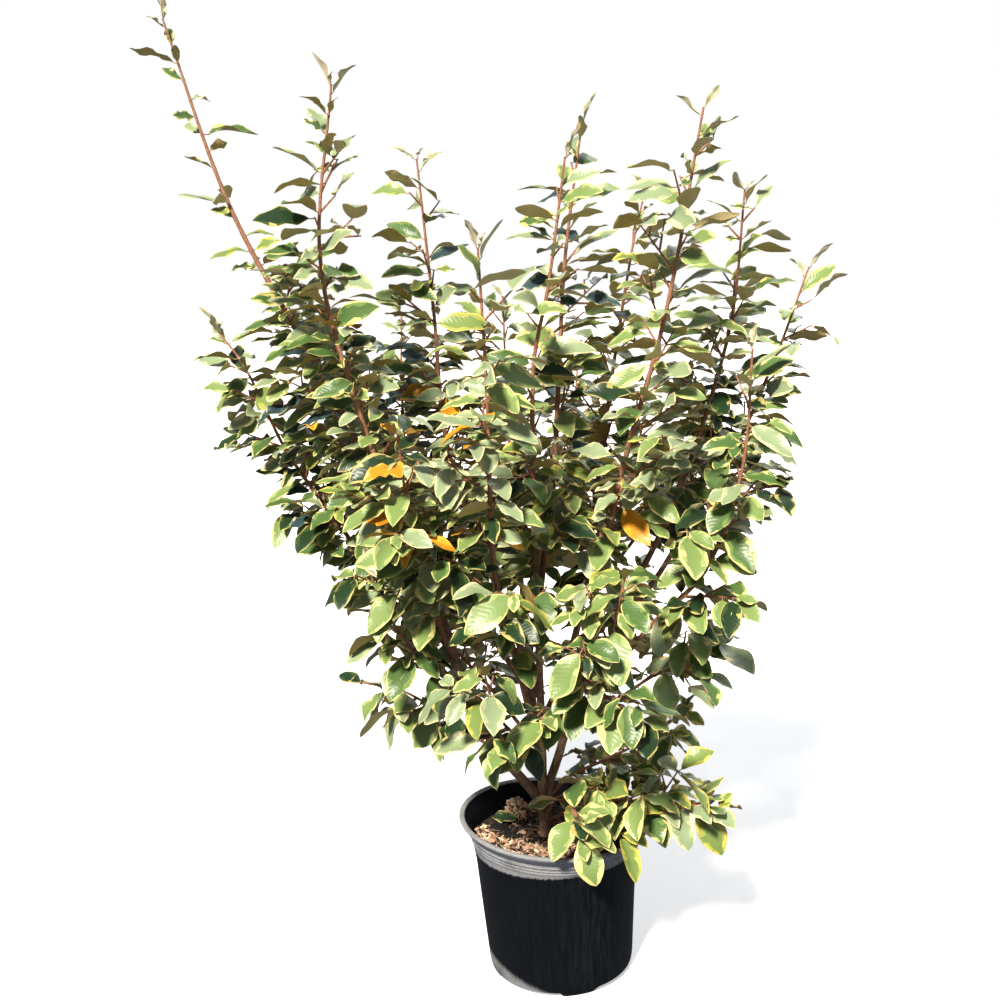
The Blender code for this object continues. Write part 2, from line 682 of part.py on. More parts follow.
class Mass:
    """One mass of foliage: a stem, side twigs by a seeded rule, and their leaves."""

    def __init__(self, limb, path, keeper, spaces):
        self.limb = limb
        self.keeper = keeper
        self.spaces = spaces
        self.chance = random.Random(SEED + limb.name)
        marks = spaced(limb.bare + GAP, path.length, STEM_STEP)
        self.stem = Line([path.at(distance)[0] for distance in marks])
        self.root_ahead = path.at(limb.bare)[1]
        self.bodies = []
        self.nodes = []

    def add_body(self, owner, verts, faces):
        """Keep a stem, twig or leaf of this mass."""
        self.bodies.append((verts, faces))
        self.keeper.add(owner, verts, faces)

    def stem_radius(self, distance):
        """Radius of the stem, carried on from its bough."""
        return TIP_RADIUS + TAPER * (self.stem.length - distance)

    def grow_stem(self):
        """The stem from the bough's tip to the tip of the limb."""
        self.add_body(self.limb.name, *tube_mesh(self.stem, self.stem.marks, self.stem_radius, 3,
                                                 first_ahead=self.root_ahead))

    def grow_twigs(self):
        """Side twigs and the places of the leaves, node by node from the bottom."""
        length = self.stem.length
        first_turn = self.chance.uniform(0, 2 * math.pi)
        for k in range(int((length - 0.03) / NODE_STEP) + 1):
            distance = FIRST_NODE + k * NODE_STEP
            share = distance / length
            turn = first_turn + k * GOLDEN_TURN
            spot, ahead = self.stem.at(distance)
            sparse = spot.z > SPARSE_ABOVE.get(self.limb.name, math.inf)
            number = k if not sparse or k % (2 * LEAF_EVERY) == 0 else 1
            self.nodes.append(Node(spot, ahead, turn, share, self.stem_radius(distance), number))
            every = 2 if spot.z < LOW_CROWN and k < 8 else 3
            if k % every == 1 and share < 0.85 and not sparse:
                self.grow_twig(spot, ahead, turn + 0.6, share)
        spot, ahead = self.stem.at(length - 0.003)
        self.nodes.append(Node(spot, ahead, first_turn, 1.0, TIP_RADIUS, 0))

    def grow_twig(self, spot, ahead, turn, share):
        """One side twig, turned and shortened until it keeps to the mass's space."""
        wish = self.limb.twig * (1.0 - 0.65 * share) * self.chance.uniform(0.75, 1.15)
        side = across(ahead)
        for attempt in range(6):
            length = wish * (1.0 - 0.08 * attempt)
            if length < TWIG_SHORTEST:
                return
            angle = turn + attempt * 1.05
            out = side * math.cos(angle) + ahead.cross(side) * math.sin(angle)
            away = ahead * math.cos(TWIG_ANGLE) + out * math.sin(TWIG_ANGLE) + UP * TWIG_RISE
            twig = Line([spot, spot + away.normalized() * length])

            def radius(distance, reach=length):
                return TWIG_RADIUS * (1.25 - 0.55 * distance / reach)

            guard = tube_mesh(twig, [ROOT_CLEAR, length], radius, 3, GUARD)
            if (self.spaces.holds(self.limb.name, twig.points[-1])
                    and self.keeper.clear(*guard, ignore=self.limb.name)):
                self.add_body(self.limb.name, *tube_mesh(twig, twig.marks, radius, 3))
                self.add_twig_nodes(twig, share)
                return

    def add_twig_nodes(self, twig, share):
        """Leaf places along a side twig and at its end."""
        turn = self.chance.uniform(0, 2 * math.pi)
        count = int((twig.length - 0.012) / NODE_STEP)
        for k in range(count + 1):
            last = k == count
            spot, ahead = twig.at(twig.length - 0.003 if last else 0.022 + k * NODE_STEP)
            self.nodes.append(Node(spot, ahead, turn + k * GOLDEN_TURN, share, TWIG_RADIUS,
                                   0 if last else k))

    def grow_leaves(self):
        """A leaf at every so many nodes."""
        for node in self.nodes:
            if node.number % LEAF_EVERY == 0:
                self.grow_leaf(node)

    def grow_leaf(self, node):
        """One leaf, or none where no turn of it keeps clear and in the space."""
        size = self.chance.uniform(0.86, 1.10)
        if node.share > 0.85:
            size *= 1.0 - (1.0 - TIP_LEAF_SHARE) * (node.share - 0.85) / 0.15
        pitch = leaf_pitch(node.spot.z, node.share, self.chance)
        for attempt in range(7):
            turn = node.turn + attempt * 0.9
            length = LEAF_LENGTH * size * (1.0 - 0.04 * attempt)
            along, face_up = leaf_frame(node.spot, node.ahead, turn, pitch, self.chance)
            root = node.spot - along * (node.radius * 0.25)
            verts, faces = leaf_mesh(root, along, face_up, length)
            in_space = all(self.spaces.holds(self.limb.name, v) for v in verts[1:4])
            if in_space and self.keeper.clear(*leaf_guard(root, along, face_up, length)):
                self.add_body(self.limb.name + "_leaf", verts, faces)
                return

    def join(self):
        """Fuse the stem, twigs and leaves into one closed solid."""
        name = "foliage_" + self.limb.name
        mass = fuse(name, self.bodies, "EXACT")
        if not keep_largest_shell(mass):
            bpy.data.objects.remove(mass, do_unlink=True)
            mass = fuse(name, self.bodies, "MANIFOLD")
            keep_largest_shell(mass)
        return mass


def main():
    """Build the pot and compost, then the limbs, then the masses that end them."""
    clear_scene()
    whole = bpy.data.objects.new("potted_elaeagnus", None)
    bpy.context.scene.collection.objects.link(whole)
    paths = limb_paths()
    pot = build_pot()
    compost = build_compost()
    trunk, trunk_cutter = build_trunk(paths["trunk"])
    boughs = []
    cutters = [trunk_cutter]
    for limb in LIMBS:
        bough, cutter = build_bough(limb, paths[limb.name], cutters)
        boughs.append(bough)
        cutters.append(cutter)

    keeper = Keeper()
    for thing in [pot, compost, trunk] + boughs:
        keeper.add(thing.name, [v.co.copy() for v in thing.data.vertices],
                   [tuple(p.vertices) for p in thing.data.polygons])
    spaces = Spaces(paths)
    masses = [Mass(limb, paths[limb.name], keeper, spaces) for limb in LIMBS]
    for mass in masses:
        mass.grow_stem()
    for mass in masses:
        mass.grow_twigs()
    for mass in masses:
        mass.grow_leaves()

    seat(pot, Vector(), whole, "pot", smooth=True)
    seat(compost, Vector((0, 0, FLOOR_THICK)), whole, "compost")
    seat(trunk, TRUNK_FOOT, whole, "bark", smooth=True)
    for limb, bough, mass in zip(LIMBS, boughs, masses):
        seat(bough, paths[limb.name].points[0], whole, "bark", smooth=True)
        seat(mass.join(), mass.stem.points[0], whole, "leaf")
    for cutter in cutters:
        bpy.data.objects.remove(cutter, do_unlink=True)


main()
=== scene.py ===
"""Looks of a potted elaeagnus with cream-edged leaves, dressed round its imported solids.

Metres, +Z up, with the origin in the middle of the pot's flat underside. The pot,
the compost, the bark and every mass of leaves are new meshes that stand in the
places of the solids. Limbs, twigs and leaves follow the rule of the solids.
"""
import json
import logging
import math
import random
from collections import defaultdict
from collections.abc import Callable, Iterable, Iterator, Sequence
from dataclasses import dataclass, field
from enum import Enum
from functools import partial
from itertools import product
from typing import NamedTuple

import bpy
import numpy as np
from mathutils import Matrix, Vector, noise
from mathutils.bvhtree import BVHTree

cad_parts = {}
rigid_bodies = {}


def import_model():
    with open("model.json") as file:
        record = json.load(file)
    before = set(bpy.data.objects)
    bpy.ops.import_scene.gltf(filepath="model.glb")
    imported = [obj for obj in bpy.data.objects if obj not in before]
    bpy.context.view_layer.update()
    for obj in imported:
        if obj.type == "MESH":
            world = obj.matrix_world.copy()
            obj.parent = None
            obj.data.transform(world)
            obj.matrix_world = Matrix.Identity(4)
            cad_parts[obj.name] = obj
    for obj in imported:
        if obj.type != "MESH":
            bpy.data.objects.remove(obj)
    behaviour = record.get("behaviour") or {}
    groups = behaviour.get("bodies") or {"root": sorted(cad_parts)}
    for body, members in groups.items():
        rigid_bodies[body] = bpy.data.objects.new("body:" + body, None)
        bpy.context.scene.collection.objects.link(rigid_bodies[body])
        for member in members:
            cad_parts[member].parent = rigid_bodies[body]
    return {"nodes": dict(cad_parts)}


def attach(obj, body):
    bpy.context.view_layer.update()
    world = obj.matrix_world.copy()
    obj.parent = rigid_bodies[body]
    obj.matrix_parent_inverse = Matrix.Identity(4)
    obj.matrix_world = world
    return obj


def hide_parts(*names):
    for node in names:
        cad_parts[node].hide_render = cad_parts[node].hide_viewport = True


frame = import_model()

log = logging.getLogger("potted_elaeagnus")

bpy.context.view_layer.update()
BODY = "root"
UP = Vector((0, 0, 1))
SEED = "elaeagnus"

# Camera of the photograph: its place, its dip below the level and its roll.
CAMERA_PLACE = Vector((-0.058, -1.901, 1.163))
CAMERA_DIP = math.radians(10.46)
CAMERA_ROLL = math.radians(3.5)
CAMERA_LENS = 43.2

# Driving sizes, as in the solids.
RIM_RADIUS = 0.160
POT_HEIGHT = 0.265
BASE_RADIUS = 0.117
HEEL_RADIUS = 0.123
HEEL_HEIGHT = 0.022
NECK_RADIUS = 0.139
LIP_HEIGHT = 0.018
NECK_HEIGHT = POT_HEIGHT - LIP_HEIGHT
POT_WALL = 0.0026
RIM_DIP = math.radians(5.0)
SOIL_LEVEL = 0.235
GAP = 0.0003
TRUNK_FOOT = Vector((-0.010, 0.000, SOIL_LEVEL))
TRUNK_TOP = Vector((-0.016, 0.000, 0.302))
FLARE_RADIUS = 0.0185
FLARE_FADE = 0.010
TRUNK_RADIUS = 0.0125
TRUNK_TOP_RADIUS = 0.0110
PATH_STEP = 0.012
TIP_RADIUS = 0.0015
TAPER = 0.0056
STEM_STEP = 0.085
NODE_STEP = 0.0275
FIRST_NODE = 0.018
GOLDEN_TURN = math.radians(137.5)
TWIG_ANGLE = math.radians(52)
TWIG_RISE = 0.15
TWIG_RADIUS = 0.0016
TWIG_SHORTEST = 0.035
TWIG_TRIES = 6
TRY_TURN = 1.05
TRY_SHORTER = 0.08
TWIG_TURN = 0.6
TWIG_FIRST_NODE = 0.022
TIP_SETBACK = 0.003
LOW_CROWN = 0.85
LEAF_LENGTH = 0.092
LEAF_WIDTH = 0.049
LEAF_KEEL = 0.0035
LEAF_BROADEST = 0.42
LEAF_DROOP = 0.05
TIP_LEAF_SHARE = 0.62
TIP_LEAVES_FROM = 0.85
REACH = 0.20
SPACE_ALLOWANCE = 0.045
CELL = 0.10
GUARD = 0.0010
ROOT_CLEAR = 0.010
ROOT_SINK = 0.25
LEAF_TRY_TURN = 0.9
LEAF_TRY_SHORTER = 0.04
# Slopes of the leaves in degrees: low down, their rise up to the crown, and at the tips.
LOW_PITCH = -48
PITCH_RISE = 52
TIP_PITCH = 40
PITCH_SPREAD = 22
ROLL_SPREAD = 42

# Sizes of the finer growth, which the solids leave out.
FINE_TURN = 2.4
FINE_SHORTEST = 0.028
FINEST_SHORTEST = 0.020
FORKED_FROM = 0.060
FORKS = (0.42, 0.72)
FINE_LEAF = 0.86
HIGH_FINE_LEAF = 0.97
STALK_LENGTH = 0.0075
FINE_GUARD = 0.0004
FINEST_GUARD = 0.0003
YOUNG_FROM = 0.96
YOUNG_ABOVE = 0.75
CUT_TWIG = 0.006
TWIG_SEAM = 0.0025


class Limb(NamedTuple):
    """A limb in metres: its foot's distance along its parent, bare length, twigs, way."""

    name: str
    parent: str
    springs: float
    bare: float
    twig: float
    way: tuple


# Twig is the longest side twig, and the last way point is the limb's tip.
LIMBS = (
    Limb("centre", "trunk", 0.067, 0.38, 0.11,
         ((-0.012, 0.0, 0.42), (-0.006, -0.01, 0.71), (0.006, -0.03, 1.02),
          (0.036, -0.045, 1.15), (0.07, -0.05, 1.335))),
    Limb("left", "trunk", 0.05, 0.37, 0.13,
         ((-0.099, -0.01, 0.414), (-0.174, -0.06, 0.646), (-0.257, -0.09, 0.957),
          (-0.3, -0.1, 1.2), (-0.263, -0.1, 1.45))),
    Limb("front", "trunk", 0.037, 0.34, 0.12,
         ((-0.022, -0.06, 0.42), (-0.044, -0.12, 0.56), (-0.072, -0.19, 0.74),
          (-0.067, -0.245, 1.0), (-0.067, -0.26, 1.205))),
    Limb("right", "trunk", 0.061, 0.36, 0.15,
         ((0.02, -0.02, 0.4), (0.07, -0.045, 0.6), (0.132, -0.08, 0.86),
          (0.204, -0.11, 1.1), (0.266, -0.12, 1.385))),
    Limb("back", "trunk", 0.044, 0.35, 0.15,
         ((-0.02, 0.06, 0.4), (-0.03, 0.17, 0.66), (-0.035, 0.27, 0.9),
          (-0.03, 0.34, 1.13))),
    Limb("rim_right", "trunk", 0.02, 0.06, 0.1,
         ((0.03, -0.03, 0.285), (0.095, -0.075, 0.318), (0.185, -0.09, 0.315),
          (0.265, -0.09, 0.302))),
    Limb("rim_front", "trunk", 0.028, 0.06, 0.08,
         ((0.004, -0.045, 0.315), (0.022, -0.11, 0.345), (0.034, -0.19, 0.335))),
    Limb("droop_right", "trunk", 0.052, 0.06, 0.09,
         ((0.03, 0.03, 0.318), (0.104, 0.055, 0.338), (0.18, 0.08, 0.362),
          (0.245, 0.1, 0.4))),
    Limb("centre_right", "centre", 0.317, 0.11, 0.11,
         ((0.03, 0.022, 0.836), (0.05, 0.04, 1.012), (0.068, 0.05, 1.18),
          (0.106, 0.05, 1.395))),
    Limb("left_middle", "centre", 0.176, 0.28, 0.12,
         ((-0.075, 0.06, 0.66), (-0.14, 0.1, 0.885), (-0.15, 0.14, 1.12),
          (-0.161, 0.15, 1.365))),
    Limb("back_right", "centre", 0.11, 0.34, 0.13,
         ((0.06, 0.09, 0.56), (0.123, 0.19, 0.836), (0.165, 0.245, 1.03),
          (0.209, 0.28, 1.22), (0.23, 0.28, 1.295))),
    Limb("far_left", "left", 0.254, 0.3, 0.13,
         ((-0.175, -0.01, 0.66), (-0.243, 0.0, 0.824), (-0.317, 0.01, 1.005),
          (-0.45, 0.04, 1.29), (-0.53, 0.05, 1.585))),
    Limb("low_left", "left", 0.178, 0.27, 0.11,
         ((-0.21, 0.0, 0.6), (-0.317, 0.03, 0.771), (-0.401, 0.05, 0.904),
          (-0.456, 0.05, 1.045), (-0.495, 0.06, 1.105))),
    Limb("left_lobe", "left", 0.211, 0.11, 0.1,
         ((-0.185, -0.08, 0.56), (-0.235, -0.13, 0.66), (-0.265, -0.15, 0.76))),
    Limb("left_front", "left", 0.32, 0.12, 0.14,
         ((-0.17, -0.15, 0.7), (-0.19, -0.215, 0.85), (-0.195, -0.24, 0.96))),
    Limb("droop_left", "left", 0.118, 0.08, 0.08,
         ((-0.155, -0.03, 0.452), (-0.235, -0.04, 0.515), (-0.3, -0.045, 0.535))),
    Limb("front_low", "front", 0.112, 0.09, 0.12,
         ((-0.06, -0.14, 0.47), (-0.085, -0.2, 0.53), (-0.095, -0.24, 0.6))),
    Limb("front_right", "front", 0.176, 0.11, 0.13,
         ((0.03, -0.15, 0.53), (0.085, -0.205, 0.62), (0.115, -0.225, 0.73))),
    Limb("right_side", "right", 0.296, 0.24, 0.14,
         ((0.15, -0.005, 0.66), (0.233, 0.06, 0.783), (0.298, 0.07, 0.945),
          (0.341, 0.08, 1.087), (0.365, 0.08, 1.28))),
    Limb("right_front", "right", 0.205, 0.2, 0.11,
         ((0.11, -0.05, 0.54), (0.173, -0.06, 0.608), (0.255, -0.09, 0.7),
          (0.308, -0.125, 0.86), (0.322, -0.15, 1.04))),
    Limb("right_low", "right", 0.148, 0.12, 0.12,
         ((0.09, 0.0, 0.45), (0.16, 0.0, 0.49), (0.22, -0.01, 0.535),
          (0.255, -0.02, 0.605))),
    Limb("far_right", "back_right", 0.165, 0.27, 0.11,
         ((0.17, 0.11, 0.6), (0.27, 0.11, 0.74), (0.345, 0.115, 0.853),
          (0.43, 0.138, 1.02), (0.485, 0.15, 1.15))),
    Limb("back_right_low", "back_right", 0.235, 0.15, 0.15,
         ((0.19, 0.21, 0.7), (0.28, 0.29, 0.8), (0.33, 0.33, 0.92))),
    Limb("back_left", "back", 0.185, 0.24, 0.14,
         ((-0.12, 0.16, 0.6), (-0.215, 0.24, 0.794), (-0.226, 0.3, 0.954),
          (-0.217, 0.32, 1.11))),
    Limb("back_middle", "back", 0.255, 0.18, 0.15,
         ((0.03, 0.24, 0.7), (0.085, 0.36, 0.86), (0.11, 0.41, 1.02))),
    Limb("back_low_left", "back", 0.1, 0.13, 0.14,
         ((-0.1, 0.15, 0.45), (-0.19, 0.24, 0.54), (-0.225, 0.28, 0.64))),
    Limb("back_low_right", "back", 0.131, 0.13, 0.14,
         ((0.06, 0.19, 0.48), (0.15, 0.27, 0.54), (0.2, 0.3, 0.62))),
    Limb("back_far_left", "low_left", 0.149, 0.14, 0.15,
         ((-0.24, 0.1, 0.68), (-0.31, 0.18, 0.87), (-0.365, 0.21, 1.13))),
)

# The long far left shoot is thinly leaved above this height, with no side twigs.
SPARSE_ABOVE = {"far_left": 1.14}
# Masses that the photograph shows as the densest, up to a height.
DENSE_BELOW = {"far_left": 1.24, "low_left": 1.15, "back_far_left": 1.20, "left": 1.22,
               "left_middle": 1.10, "left_front": 1.00, "back_left": 1.15, "right_side": 1.10}
# Masses that have shed a few leaves lately and hold some old golden ones.
GOLD_DOTTED = {"left_front", "front", "left", "left_middle"}
GOLD_ABOVE = 0.62
GOLD_ODDS = 0.035
RARE_GOLD_ODDS = 0.002
# Share of the leaves whose tone is their own and not their spray's.
STRAY_ODDS = 0.35
# Above this height the leaves are fewer and larger.
OPEN_ABOVE = 0.98
# Nodes that carry the golden leaves which the photograph shows in front.
GOLD_SPOTS = ((-0.199, -0.250, 0.914), (-0.241, -0.085, 0.894), (-0.195, -0.239, 0.957),
              (-0.190, -0.213, 0.802), (0.130, -0.063, 0.803), (-0.084, -0.193, 0.798))
GOLD_REACH = 0.008
# Low sprays over the rim, whose leaves have the broadest cream edge.
BROAD_EDGED = {"rim_right", "rim_front", "droop_right"}
# The plant grew toward this light, which also lights it in the studio.
LIGHT_FROM = Vector((-0.42, -1.00, 1.08)).normalized()
# No leaf of the rim sprays comes this near to the view of the trunk's foot.
TRUNK_VIEW_CLEAR = 0.026


# Finishes


def linear(colour: str) -> tuple[float, float, float, float]:
    """Turn an sRGB hex colour to linear light.

    Args:
        colour: six hex digits after a hash sign.

    Returns:
        Red, green, blue and an alpha of one.
    """
    parts = [int(colour[i:i + 2], 16) / 255 for i in (1, 3, 5)]
    light = [c / 12.92 if c <= 0.04045 else ((c + 0.055) / 1.055) ** 2.4 for c in parts]
    return (*light, 1.0)


def per_metre(millimetres: float) -> float:
    """Pattern scale whose repeat measures this many millimetres."""
    return 1000.0 / millimetres


def set_inputs(node: bpy.types.Node, inputs: dict) -> None:
    """Set or link inputs of a node.

    Args:
        node: the node.
        inputs: for each input by name or number, a value, a socket, or a node whose first
            output is linked.
    """
    for name, value in inputs.items():
        source = value.outputs[0] if isinstance(value, bpy.types.Node) else value
        if isinstance(source, bpy.types.NodeSocket):
            node.id_data.links.new(source, node.inputs[name])
        else:
            node.inputs[name].default_value = source


def add_node(tree: bpy.types.NodeTree, kind: str, settings: dict | None = None,
             inputs: dict | None = None,
             stops: Sequence[tuple[float, str]] = ()) -> bpy.types.Node:
    """Add one node with its settings, values and links.

    Args:
        tree: the node tree that gets it.
        kind: the node's type name after ShaderNode.
        settings: attributes to set on the node.
        inputs: its inputs, as set_inputs takes them.
        stops: places from 0 to 1 on its colour ramp, each with an sRGB hex colour.

    Returns:
        The new node.
    """
    node = tree.nodes.new("ShaderNode" + kind)
    for name, value in (settings or {}).items():
        setattr(node, name, value)
    set_inputs(node, inputs or {})
    if stops:
        elements = node.color_ramp.elements
        while len(elements) < len(stops):
            elements.new(0.5)
        for element, (place, colour) in zip(elements, stops):
            element.position = place
            element.color = linear(colour)
    return node


def new_material(name: str, values: dict) -> tuple[bpy.types.Material, bpy.types.Node]:
    """Make a material with one Principled shader, by default that of dry plant matter.

    Args:
        name: the material's name.
        values: the shader's own values by socket name.

    Returns:
        The material and its shader node.
    """
    material = bpy.data.materials.new(name)
    material.use_nodes = True
    shader = material.node_tree.nodes["Principled BSDF"]
    set_inputs(shader, {"IOR": 1.45, "Metallic": 0.0} | values)
    return material, shader


class LeafPart(Enum):
    """The parts of a leaf that differ in colour."""

    CENTRE = 0
    FEATHER = 1
    EDGE = 2
    UNDERSIDE = 3


class Tone(Enum):
    """Leaf tones as sRGB: centre, feathered zone, edge and underside."""

    FRESH = ("#768c50", "#96a668", "#d9ce84", "#ccb780")
    DEEP = ("#4c6836", "#6d854a", "#cbc079", "#b79f62")
    GREY = ("#899a74", "#a1ab84", "#d9cf9c", "#cfbb8a")
    # Painted shade: a darker copy of all four colours, for leaves that lie in shadow.
    SHADE = ("#20361f", "#3b4e28", "#b0a566", "#a08a4e")
    # Painted shade with a painted blue sky reflection, for shaded leaves high in the crown.
    SKYLIT = ("#304649", "#4f6361", "#b9b694", "#8f8766")
    YELLOWED = ("#738848", "#9da150", "#cfbf5a", "#baa36a")
    YOUNG = ("#969776", "#b3ac8a", "#dad0a8", "#c6ba99")
    OLD_GOLD = ("#c9881e", "#d8982a", "#dda63a", "#b38a40")


@dataclass(frozen=True)
class LeafFinish:
    """Living elaeagnus leaf: a waxy leathery upper skin over a felted, scaly underside.

    The wax gives a soft broad shine above, and the scales a dry silvery tan below.
    Each part of each tone is one plain colour, and the veins are fine relief.
    """

    wax_roughness: float = 0.38
    felt_roughness: float = 0.72
    vein_spacing_mm: float = 8.5
    vein_slant: float = 0.38
    scale_grain_mm: float = 0.6
    # The real scales are too fine to show, so they are drawn this much coarser.
    coarser: float = 4.0

    def material(self, tone: Tone, part: LeafPart) -> bpy.types.Material:
        """The finish of one leaf part.

        Args:
            tone: the leaf's tone.
            part: the part of the leaf.

        Returns:
            The material.
        """
        felted = part is LeafPart.UNDERSIDE
        material, shader = new_material(f"leaf_{tone.name.lower()}_{part.name.lower()}", {
            "Base Color": linear(tone.value[part.value]),
            "Roughness": self.felt_roughness if felted else self.wax_roughness})
        tree = material.node_tree
        place = add_node(tree, "UVMap", {"uv_map": "blade"})
        axes = add_node(tree, "SeparateXYZ", inputs={0: place})
        count = LEAF_LENGTH * 1000 / self.vein_spacing_mm
        along = add_node(tree, "Math", {"operation": "MULTIPLY"}, {0: axes, 1: count})
        aside = add_node(tree, "Math", {"operation": "SUBTRACT"}, {0: axes.outputs["Y"], 1: 0.5})
        outward = add_node(tree, "Math", {"operation": "ABSOLUTE"}, {0: aside})
        slant = add_node(tree, "Math", {"operation": "MULTIPLY_ADD"},
                         {0: outward, 1: -self.vein_slant * count, 2: along})
        turn = add_node(tree, "Math", {"operation": "MULTIPLY"}, {0: slant, 1: math.tau})
        ribs = add_node(tree, "Math", {"operation": "SINE"}, {0: turn})
        spot = add_node(tree, "TexCoord")
        grain = add_node(tree, "TexNoise", inputs={
            "Vector": spot.outputs["Object"],
            "Scale": per_metre(self.scale_grain_mm * self.coarser), "Detail": 2.0})
        height = add_node(tree, "Math", {"operation": "MULTIPLY_ADD"},
                          {0: grain, 1: 0.8, 2: ribs})
        bump = add_node(tree, "Bump", inputs={
            "Height": height, "Strength": 0.08 if felted else 0.13, "Distance": 0.0006})
        set_inputs(shader, {"Normal": bump})
        return material


@dataclass(frozen=True)
class BarkFinish:
    """Elaeagnus bark: grey-brown and finely cracked when old, red-brown and scurfy when young.

    The eye gets warm patches broken by dark cracks low down, and thin even colour above.
    """

    patch_mm: float = 22.0
    crack_mm: float = 3.0
    fleck_mm: float = 1.2
    old: tuple = ((0.30, "#523c2e"), (0.47, "#85654f"), (0.58, "#a68469"), (0.72, "#bb9c80"))
    young: tuple = ((0.25, "#6b4130"), (0.50, "#966349"), (0.78, "#bd9070"))
    cracks: tuple = ((0.36, "#5a4a40"), (0.52, "#ffffff"))

    def material(self) -> bpy.types.Material:
        """The finish, which reads the bark's age and place from the mesh.

        Returns:
            The material.
        """
        material, shader = new_material("elaeagnus_bark", {})
        tree = material.node_tree
        skin = add_node(tree, "Attribute", {"attribute_name": "skin"}).outputs["Vector"]
        age = add_node(tree, "Attribute", {"attribute_name": "age"}).outputs["Fac"]
        patch = add_node(tree, "TexNoise", inputs={
            "Vector": skin, "Scale": per_metre(self.patch_mm), "Detail": 4.0, "Roughness": 0.6})
        crack = add_node(tree, "TexNoise", inputs={
            "Vector": skin, "Scale": per_metre(self.crack_mm), "Detail": 6.0, "Roughness": 0.65})
        fleck = add_node(tree, "TexNoise", inputs={
            "Vector": skin, "Scale": per_metre(self.fleck_mm), "Detail": 1.0})
        old = add_node(tree, "ValToRGB", inputs={"Fac": patch}, stops=self.old)
        young = add_node(tree, "ValToRGB", inputs={"Fac": fleck}, stops=self.young)
        cracks = add_node(tree, "ValToRGB", inputs={"Fac": crack}, stops=self.cracks)
        # Inputs 6 and 7 and output 2 of a mix are its colours.
        cracked = add_node(tree, "Mix", {"data_type": "RGBA", "blend_type": "MULTIPLY"},
                           {"Factor": 0.55, 6: old, 7: cracks})
        colour = add_node(tree, "Mix", {"data_type": "RGBA"},
                          {"Factor": age, 6: young, 7: cracked.outputs[2]})
        rough = add_node(tree, "MapRange", inputs={
            "Value": fleck, "To Min": 0.62, "To Max": 0.92})
        relief = add_node(tree, "Math", {"operation": "MULTIPLY"}, {0: crack, 1: age})
        height = add_node(tree, "Math", {"operation": "MULTIPLY_ADD"},
                          {0: fleck, 1: 0.25, 2: relief})
        bump = add_node(tree, "Bump", inputs={
            "Height": height, "Strength": 0.7, "Distance": 0.0012})
        set_inputs(shader, {"Base Color": colour.outputs[2], "Roughness": rough, "Normal": bump})
        return material


@dataclass(frozen=True)
class StalkFinish:
    """Leaf stalk under brown and silver scales, which look like dry tan felt."""

    colour: str = "#a08a62"
    grain_mm: float = 0.8

    def material(self) -> bpy.types.Material:
        """The finish of the stalks.

        Returns:
            The material.
        """
        material, shader = new_material("scaly_leaf_stalk", {"Base Color": linear(self.colour)})
        tree = material.node_tree
        spot = add_node(tree, "TexCoord")
        grain = add_node(tree, "TexNoise", inputs={
            "Vector": spot.outputs["Object"], "Scale": per_metre(self.grain_mm)})
        rough = add_node(tree, "MapRange", inputs={
            "Value": grain, "To Min": 0.55, "To Max": 0.85})
        set_inputs(shader, {"Roughness": rough})
        return material


